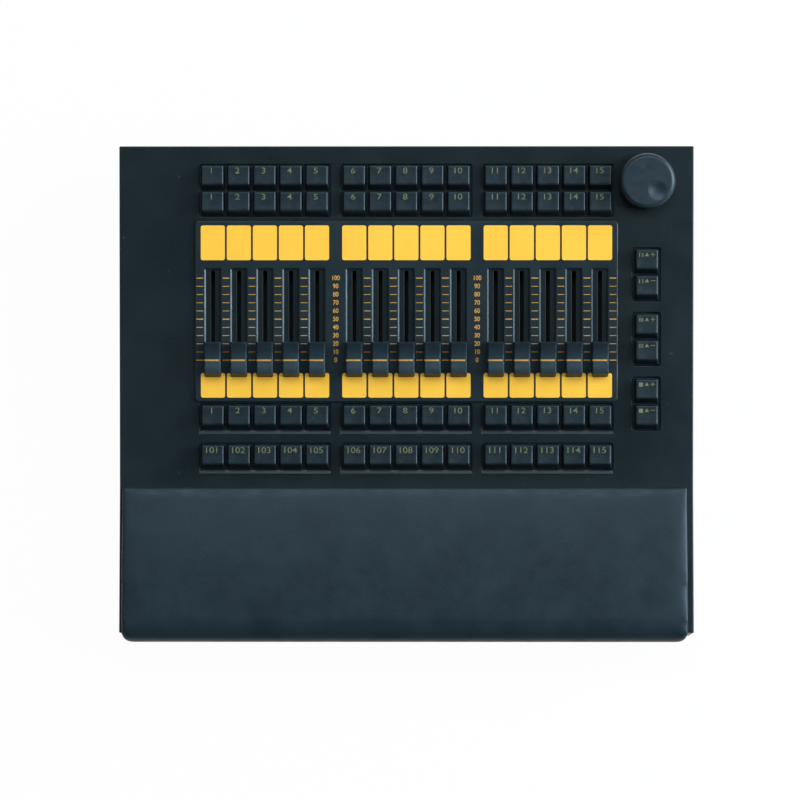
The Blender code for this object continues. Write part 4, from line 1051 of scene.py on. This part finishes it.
# The screws: raised countersunk heads with a cross recess, of black zinc-plated steel. They hold the side
# walls to the panel and the base plate, and the rear plate and the feet in their places.
SCREW_RADIUS = 0.0028
SCREW_RISE = 0.0009
SCREW_SUNK = 0.0002
RECESS_LENGTH = 0.0034
RECESS_WIDTH = 0.0009
RECESS_DEPTH = 0.0007
RECESS_TAPER = 0.6
SIDE_SCREWS_Y = (-0.155, -0.040, 0.040, 0.160)
REAR_SCREWS_X = (-0.198, -0.100, 0.0, 0.110, 0.198)
BASE_SCREWS_Y = (-0.163, 0.010, 0.170)
LOW_SCREW_RISE = 0.0060
TOP_SCREW_FALL = 0.0120

dome = (SCREW_RADIUS**2 + SCREW_RISE**2) / (2 * SCREW_RISE)
dome_end = math.degrees(math.acos(SCREW_RADIUS / dome))
screw_profile = arc((0, SCREW_RISE - dome), (dome, dome), 90, dome_end, 5)
screw = turned("screw_pattern", screw_profile + [(SCREW_RADIUS, -SCREW_SUNK), (0, -SCREW_SUNK)], 24)
for length, width in ((RECESS_LENGTH, RECESS_WIDTH), (RECESS_WIDTH, RECESS_LENGTH)):
    recess = block("recess", *centred(length, width, SCREW_RISE - RECESS_DEPTH, 2 * SCREW_RISE))
    narrowed = (RECESS_TAPER, RECESS_TAPER, 1)
    work(recess, "FACE", facing(Z, -1), bpy.ops.transform.resize, value=narrowed)
    cut(screw, recess)
shade(screw)


def set_on(pattern, place, front):
    """A copy of a piece that was modelled with its front up, set on a surface with its front that way."""
    towards = Vector(front).to_track_quat("Z", "Y").to_matrix().to_4x4()
    return lay(copy_of(pattern, pattern.name), Matrix.Translation(place) @ towards)


base_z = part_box("base_plate")[0].z
rear_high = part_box("rear_plate")[1]
low_z = base_z + LOW_SCREW_RISE
screws = []
for side in (-1, 1):
    for y in SIDE_SCREWS_Y:
        sheet_z = panel_height(y) if y > bend_y else bend_z - (bend_y - y) * rest_fall
        for z in (low_z, sheet_z - TOP_SCREW_FALL):
            screws.append(set_on(screw, (side * sheet_high.x, y, z), (side, 0, 0)))
    for y in BASE_SCREWS_Y:
        screws.append(set_on(screw, (side * REAR_SCREWS_X[-1], y, base_z), (0, 0, -1)))
for x in REAR_SCREWS_X:
    for z in (low_z + SCREW_RADIUS, rear_high.z - TOP_SCREW_FALL):
        screws.append(set_on(screw, (x, rear_high.y, z), (0, 1, 0)))
for place in foot_places:
    screws.append(set_on(screw, (place.x, place.y, FOOT_WELL[1]), (0, 0, -1)))
case_screws = joined("case_screws", screws)

shine, grain = (0.001, 3, 0.28, 0.46), (0.0005, 0.00001, 0.4)
zinc = mottled("black_zinc", (52, 56, 60), (78, 82, 86), (0.003, 3), shine, grain, metallic=1.0)
coat(case_screws, zinc.material)
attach(case_screws, "case")

# The mains inlet: a black moulded housing snapped into the rear plate, with a recess for the cord's plug,
# three plated blades in it, and a rocker switch beside it with the signs for on and off.
SOCKET_FLANGE = 0.0015
SOCKET_BODY_GAP = 0.0003
RIM_FLARE = 0.0004
FRONT_ROUNDING = 0.0004
INLET_BODY = (0.0500, 0.0265)
INLET_CORNER = 0.0040
INLET_RECESS = (0.0246, 0.0168, 0.0170)
INLET_RECESS_PLACE = 0.0105
INLET_RECESS_CORNERS = (0.0012, 0.0040)
INLET_BLADE = (0.0020, 0.0040, 0.0140)
INLET_BLADE_EDGE = 0.0005
BLADE_SPREAD = 0.0070
BLADE_RISE = 0.0020
ROCKER_SIZE = (0.0124, 0.0190, 0.0060)
ROCKER_TILT = math.radians(7.0)
ROCKER_PLAY = 0.0007
ROCKER_POCKET = 0.0095
ROCKER_EDGE = 0.0005
SIGN_HEIGHT = 0.0036
SIGN_STROKE = 0.0007

inlet_low, inlet_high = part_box("power_inlet")
face_y = inlet_high.y
inlet_x, socket_z = (inlet_low.x + inlet_high.x) / 2, (inlet_low.z + inlet_high.z) / 2
rocker_pivot = Vector(joints["power_rocker_tilt"]["pos_m"])


def in_face(x, size, back, front, z=socket_z):
    """The corners of a block in the rear plate, from its middle, width and height."""
    reach_x, reach_z = size[0] / 2, size[1] / 2
    return (x - reach_x, back, z - reach_z), (x + reach_x, front, z + reach_z)


def opening(x, size, lower_corner, upper_corner):
    """A cutter for an opening in a socket's face, whose rim flares a little."""
    cutter = block("opening", *in_face(x, size, face_y - size[2], face_y - RIM_FLARE))
    for radius, segments, side in ((lower_corner, 3, -1), (upper_corner, 1, 1)):
        round_edges(
            cutter,
            radius,
            segments,
            lambda edge: runs_along(edge, Y) and (edge.verts[0].co.z - socket_z) * side > 0,
        )
    work(cutter, "FACE", facing(Y, 1), draw_out, step=(0, 2 * RIM_FLARE, 0))
    wider, taller = 1 + 4 * RIM_FLARE / size[0], 1 + 4 * RIM_FLARE / size[1]
    work(cutter, "FACE", facing(Y, 1), bpy.ops.transform.resize, value=(wider, 1, taller))
    return cutter


def housing(name, node, corner, body, openings):
    """A socket in the rear plate: a rounded flange, a body behind it and openings in its face."""
    low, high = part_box(node)
    piece = rounded_block(name, (low.x, high.y - SOCKET_FLANGE, low.z), high, corner, axis=Y)
    round_edges(piece, FRONT_ROUNDING, 2, beyond(Y, high.y - TINY))
    body_box = in_face((low.x + high.x) / 2, body, low.y, face_y - SOCKET_BODY_GAP)
    cut(piece, block("body", *body_box), "UNION")
    for x, size, corners in openings:
        cut(piece, opening(x, size, *corners))
    shade(piece)
    return piece


plug_x = inlet_x + INLET_RECESS_PLACE
width, height, depth = ROCKER_SIZE
pocket = (width + 2 * ROCKER_PLAY, height + 2 * ROCKER_PLAY, ROCKER_POCKET)
inlet_openings = (
    (plug_x, INLET_RECESS, INLET_RECESS_CORNERS),
    (rocker_pivot.x, pocket, (ROCKER_EDGE, ROCKER_EDGE)),
)
inlet = housing("inlet_housing", "power_inlet", INLET_CORNER, INLET_BODY, inlet_openings)

root = face_y - INLET_RECESS[2]
blades = []
for number, rise in ((-1, -1), (0, 1), (1, -1)):
    x, z = plug_x + number * BLADE_SPREAD, socket_z + rise * BLADE_RISE
    blade = block("blade", *in_face(x, INLET_BLADE, root - TINY, root + INLET_BLADE[2], z))
    round_edges(blade, INLET_BLADE_EDGE, 2, beyond(Y, root, any))
    blades.append(blade)
blades = joined("inlet_blades", blades)
shade(blades, 40)

valley = depth / 2 - height / 2 * math.tan(ROCKER_TILT)
corners = ((-depth / 2, -height / 2), (depth / 2, -height / 2), (valley, 0))
corners += ((depth / 2, height / 2), (-depth / 2, height / 2))
rocker = extruded("rocker_button", [(-width / 2, y, z) for y, z in corners], (width, 0, 0))
signs = copy_of(rocker, "rocker_signs")
round_edges(rocker, ROCKER_EDGE, 3, lambda edge: is_sharp(edge) and beyond(Y, 0, any)(edge))
shade(rocker)
swell(signs, LINE_RISE)
low = (-SIGN_STROKE / 2, depth / 4, height / 4 - SIGN_HEIGHT / 2)
bar = block("on_sign", low, (SIGN_STROKE / 2, depth, height / 4 + SIGN_HEIGHT / 2))
ring, hole = (
    cylinder(32, radius, depth, (0, 0.75 * depth, -height / 4), (math.pi / 2, 0, 0))
    for radius in (SIGN_HEIGHT / 2, SIGN_HEIGHT / 2 - SIGN_STROKE)
)
cut(ring, hole)
cut(signs, joined("sign_shapes", [bar, ring]), "INTERSECT")
for piece in (rocker, signs):
    lay(piece, Matrix.Translation(rocker_pivot) @ Matrix.Rotation(-ROCKER_TILT, 4, "X"))

shine, grain = (0.003, 3, 0.34, 0.50), (0.0005, 0.00002, 0.5)
black = mottled("socket_moulding", (22, 24, 26), (29, 31, 33), (0.01, 3), shine, grain, specular=0.4)
shine, grain = (0.002, 4, 0.20, 0.36), (0.0008, 0.00001, 0.3)
nickel = mottled("nickel_plate", (176, 178, 174), (202, 203, 198), (0.008, 3), shine, grain, metallic=1.0)
for piece, material, slot, body in (
    (inlet, black.material, "socket_plastic", "case"),
    (blades, nickel.material, "plated_steel", "case"),
    (rocker, black.material, "socket_plastic", "power_rocker"),
    (signs, pale_ink, "print_amber", "power_rocker"),
):
    coat(piece, material)
    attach(piece, body)
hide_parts("power_inlet")
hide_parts("power_rocker")

# The data socket: a shell folded from plated sheet, with a black tongue in its mouth that carries two gold
# plated contacts above and two below.
USB_SHELL = (0.0120, 0.0110)
USB_FLANGE_CORNER = 0.0020
USB_MOUTH = (0.0084, 0.0078, 0.0100)
USB_MOUTH_CORNERS = (0.0004, 0.0014)
USB_TONGUE = (0.0056, 0.0032, 0.0090)
USB_TONGUE_EDGE = 0.0003
USB_CONTACT = (0.0011, 0.0003, 0.0070)
USB_CONTACT_PLACE = 0.0014

usb_low, usb_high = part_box("usb_socket")
usb_x = (usb_low.x + usb_high.x) / 2
mouth = ((usb_x, USB_MOUTH, USB_MOUTH_CORNERS),)
usb = housing("usb_shell", "usb_socket", USB_FLANGE_CORNER, USB_SHELL, mouth)
root = face_y - USB_MOUTH[2]
tongue = block("usb_tongue", *in_face(usb_x, USB_TONGUE, root - TINY, root + USB_TONGUE[2]))
round_edges(tongue, USB_TONGUE_EDGE, 2, beyond(Y, root, any))
shade(tongue)
contacts = []
for x in (usb_x - USB_CONTACT_PLACE, usb_x + USB_CONTACT_PLACE):
    for z in (socket_z - USB_TONGUE[1] / 2, socket_z + USB_TONGUE[1] / 2):
        contacts.append(block("contact", *in_face(x, USB_CONTACT, root, root + USB_CONTACT[2], z)))
usb_contacts = joined("usb_contacts", contacts)

shine, grain = (0.001, 3, 0.16, 0.30), (0.0004, 0.00001, 0.3)
gold = mottled("gold_plate", (214, 176, 96), (232, 198, 122), (0.003, 2), shine, grain, metallic=1.0)
for piece, material, slot in (
    (usb, nickel.material, "plated_steel"),
    (tongue, black.material, "socket_plastic"),
    (usb_contacts, gold.material, "plated_steel"),
):
    coat(piece, material)
    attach(piece, "case")
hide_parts("usb_socket")

# The two round sockets for the lighting line: a flanged shell with a deep ring groove, a core with five
# gold-plated sleeves, a latch at the top to push, and two screws at opposite corners.
ROUND_FLANGE = (0.0260, 0.0310)
ROUND_FLANGE_CORNER = 0.0020
ROUND_SIDES = 64
BARREL_RADIUS = 0.0118
BARREL_LENGTH = 0.0200
GROOVE_RADII = (0.0072, 0.0094)
GROOVE_DEPTH = 0.0120
CORE_ROUNDING = 0.0006
SLEEVE_RADII = (0.00055, 0.00090)
SLEEVE_SIDES = 16
SLEEVE_CIRCLE = 0.0042
SLEEVE_DEPTH = 0.0080
SLEEVE_ANGLES = (-30, 30, 90, 150, 210)
LATCH_SIZE = (0.0072, 0.0034, 0.0012)
LATCH_CORNER = 0.00102
LATCH_PLACE = 0.0125
FLANGE_SCREW = (0.0097, 0.0124)


def pin(name, radius, top, bottom, sides=SLEEVE_SIDES):
    """A plain round solid on the Z axis."""
    return turned(name, [(0, top), (radius, top), (radius, bottom), (0, bottom)], sides)


flange = centred(*ROUND_FLANGE, -SOCKET_FLANGE, 0)
round_socket = rounded_block("round_socket", *flange, ROUND_FLANGE_CORNER)
round_edges(round_socket, FRONT_ROUNDING, 2, beyond(Z, -TINY))
cut(round_socket, pin("barrel", BARREL_RADIUS, -SOCKET_BODY_GAP, -BARREL_LENGTH, ROUND_SIDES), "UNION")
core_radius, well_radius = GROOVE_RADII
well = [(0, SHEET), (well_radius + SHEET + RIM_FLARE, SHEET), (well_radius, -RIM_FLARE)]
well += [(well_radius, -GROOVE_DEPTH), (0, -GROOVE_DEPTH)]
cut(round_socket, turned("well", well, ROUND_SIDES))
core = [(0, 0), *arc((core_radius - CORE_ROUNDING, -CORE_ROUNDING), (CORE_ROUNDING,) * 2, 90, 0, 4)]
core += [(core_radius, -GROOVE_DEPTH - SHEET), (0, -GROOVE_DEPTH - SHEET)]
cut(round_socket, turned("core", core, ROUND_SIDES), "UNION")

bore_radius, sleeve_radius = SLEEVE_RADII
bore = pin("bore", sleeve_radius, SHEET, -SLEEVE_DEPTH)
sleeve = pin("sleeve", sleeve_radius - TINY, -RIM_FLARE, TINY - SLEEVE_DEPTH)
cut(sleeve, pin("sleeve_bore", bore_radius, SHEET, SHEET - SLEEVE_DEPTH))
spots = [(math.cos(angle), -math.sin(angle), 0) for angle in map(math.radians, SLEEVE_ANGLES)]
bores, sleeves = (
    joined(name, [copy_at(pattern, name, SLEEVE_CIRCLE * Vector(spot)) for spot in spots])
    for pattern, name in ((bore, "bores"), (sleeve, "round_socket_sleeves"))
)
cut(round_socket, bores)
shade(round_socket)
shade(sleeves, 40)

width, length, height = LATCH_SIZE
latch = block("round_socket_latch", *centred(width, length, -SOCKET_BODY_GAP, height))
lay(latch, Matrix.Translation((0, LATCH_PLACE, 0)))
round_edges(latch, LATCH_CORNER, 6, lambda edge: runs_along(edge, Z))
round_edges(latch, FRONT_ROUNDING, 2, beyond(Z, height - TINY))
shade(latch)
x, y = FLANGE_SCREW
flange_screws = [copy_at(screw, "flange_screw", place) for place in ((-x, -y, 0), (x, y, 0))]
flange_screws = joined("round_socket_screws", flange_screws)
for pattern, material, slot in (
    (round_socket, black.material, "socket_plastic"),
    (sleeves, gold.material, "plated_steel"),
    (latch, nickel.material, "plated_steel"),
    (flange_screws, zinc.material, "screw_steel"),
):
    coat(pattern, material)
    for number in (1, 2):
        node = f"dmx_socket_{number}"
        low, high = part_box(node)
        piece = set_on(pattern, ((low.x + high.x) / 2, face_y, socket_z), (0, 1, 0))
        piece.name = piece.data.name = f"{pattern.name}_{number}"
        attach(piece, "case")
        if pattern is round_socket:
            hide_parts(node)
for pattern in (round_socket, bore, sleeve, sleeves, latch, flange_screws, screw):
    bpy.data.objects.remove(pattern)

# What is inside: the caged power supply, the circuit boards with their parts, the fader frames with their
# motors, and the encoder. They are the CAD solids and show only through slots, windows and vents.
BOARD_SHEET = 0.0016
MAIN_BOARD_TOP = 0.0156


def laminate(name, upwards, level):
    """Green circuit board, with the parts on its upper side in black plastic."""
    shine, grain = (0.002, 3, 0.30, 0.46), (0.0008, 0.00002, 0.4)
    board = mottled(name, (16, 62, 40), (26, 80, 52), (0.004, 3), shine, grain)
    height = wire(board.tree, "VectorMath", {0: board.place, 1: upwards}, operation="DOT_PRODUCT")
    above = {0: height.outputs["Value"], 1: level}
    board.speck(wire(board.tree, "Math", above, operation="GREATER_THAN").outputs[0], (24, 25, 27))
    return board.material


galvanised = Finish("galvanised_sheet", metallic=1.0)
galvanised.tint(galvanised.cells(0.007), (140, 145, 148), (176, 180, 182))
galvanised.polish(galvanised.noise(0.005), 0.30, 0.46)
galvanised.bump(galvanised.noise(0.0015, 2), 0.00002, 0.4)
shine, grain = (0.003, 3, 0.48, 0.64), (0.0008, 0.00003, 0.4)
blackened = mottled("blackened_steel", (17, 23, 24), (23, 30, 31), (0.01, 3), shine, grain, specular=0.2)
inner = {"power_supply": galvanised.material, "encoder_body": nickel.material}
inner.update({f"fader_frame_{bank}": blackened.material for bank in BANKS})
inner["main_board"] = laminate("main_board_laminate", (0, 0, 1), MAIN_BOARD_TOP + TINY)
for node in ("upper_key_board", "lower_key_board", "side_key_board"):
    board_top = panel_box(node)[0].z + BOARD_SHEET
    level = panel_place.translation.dot(off_panel) + board_top + TINY
    inner[node] = laminate(node + "_laminate", off_panel, level)
for node, material in inner.items():
    frame["nodes"][node].data.materials[0] = material
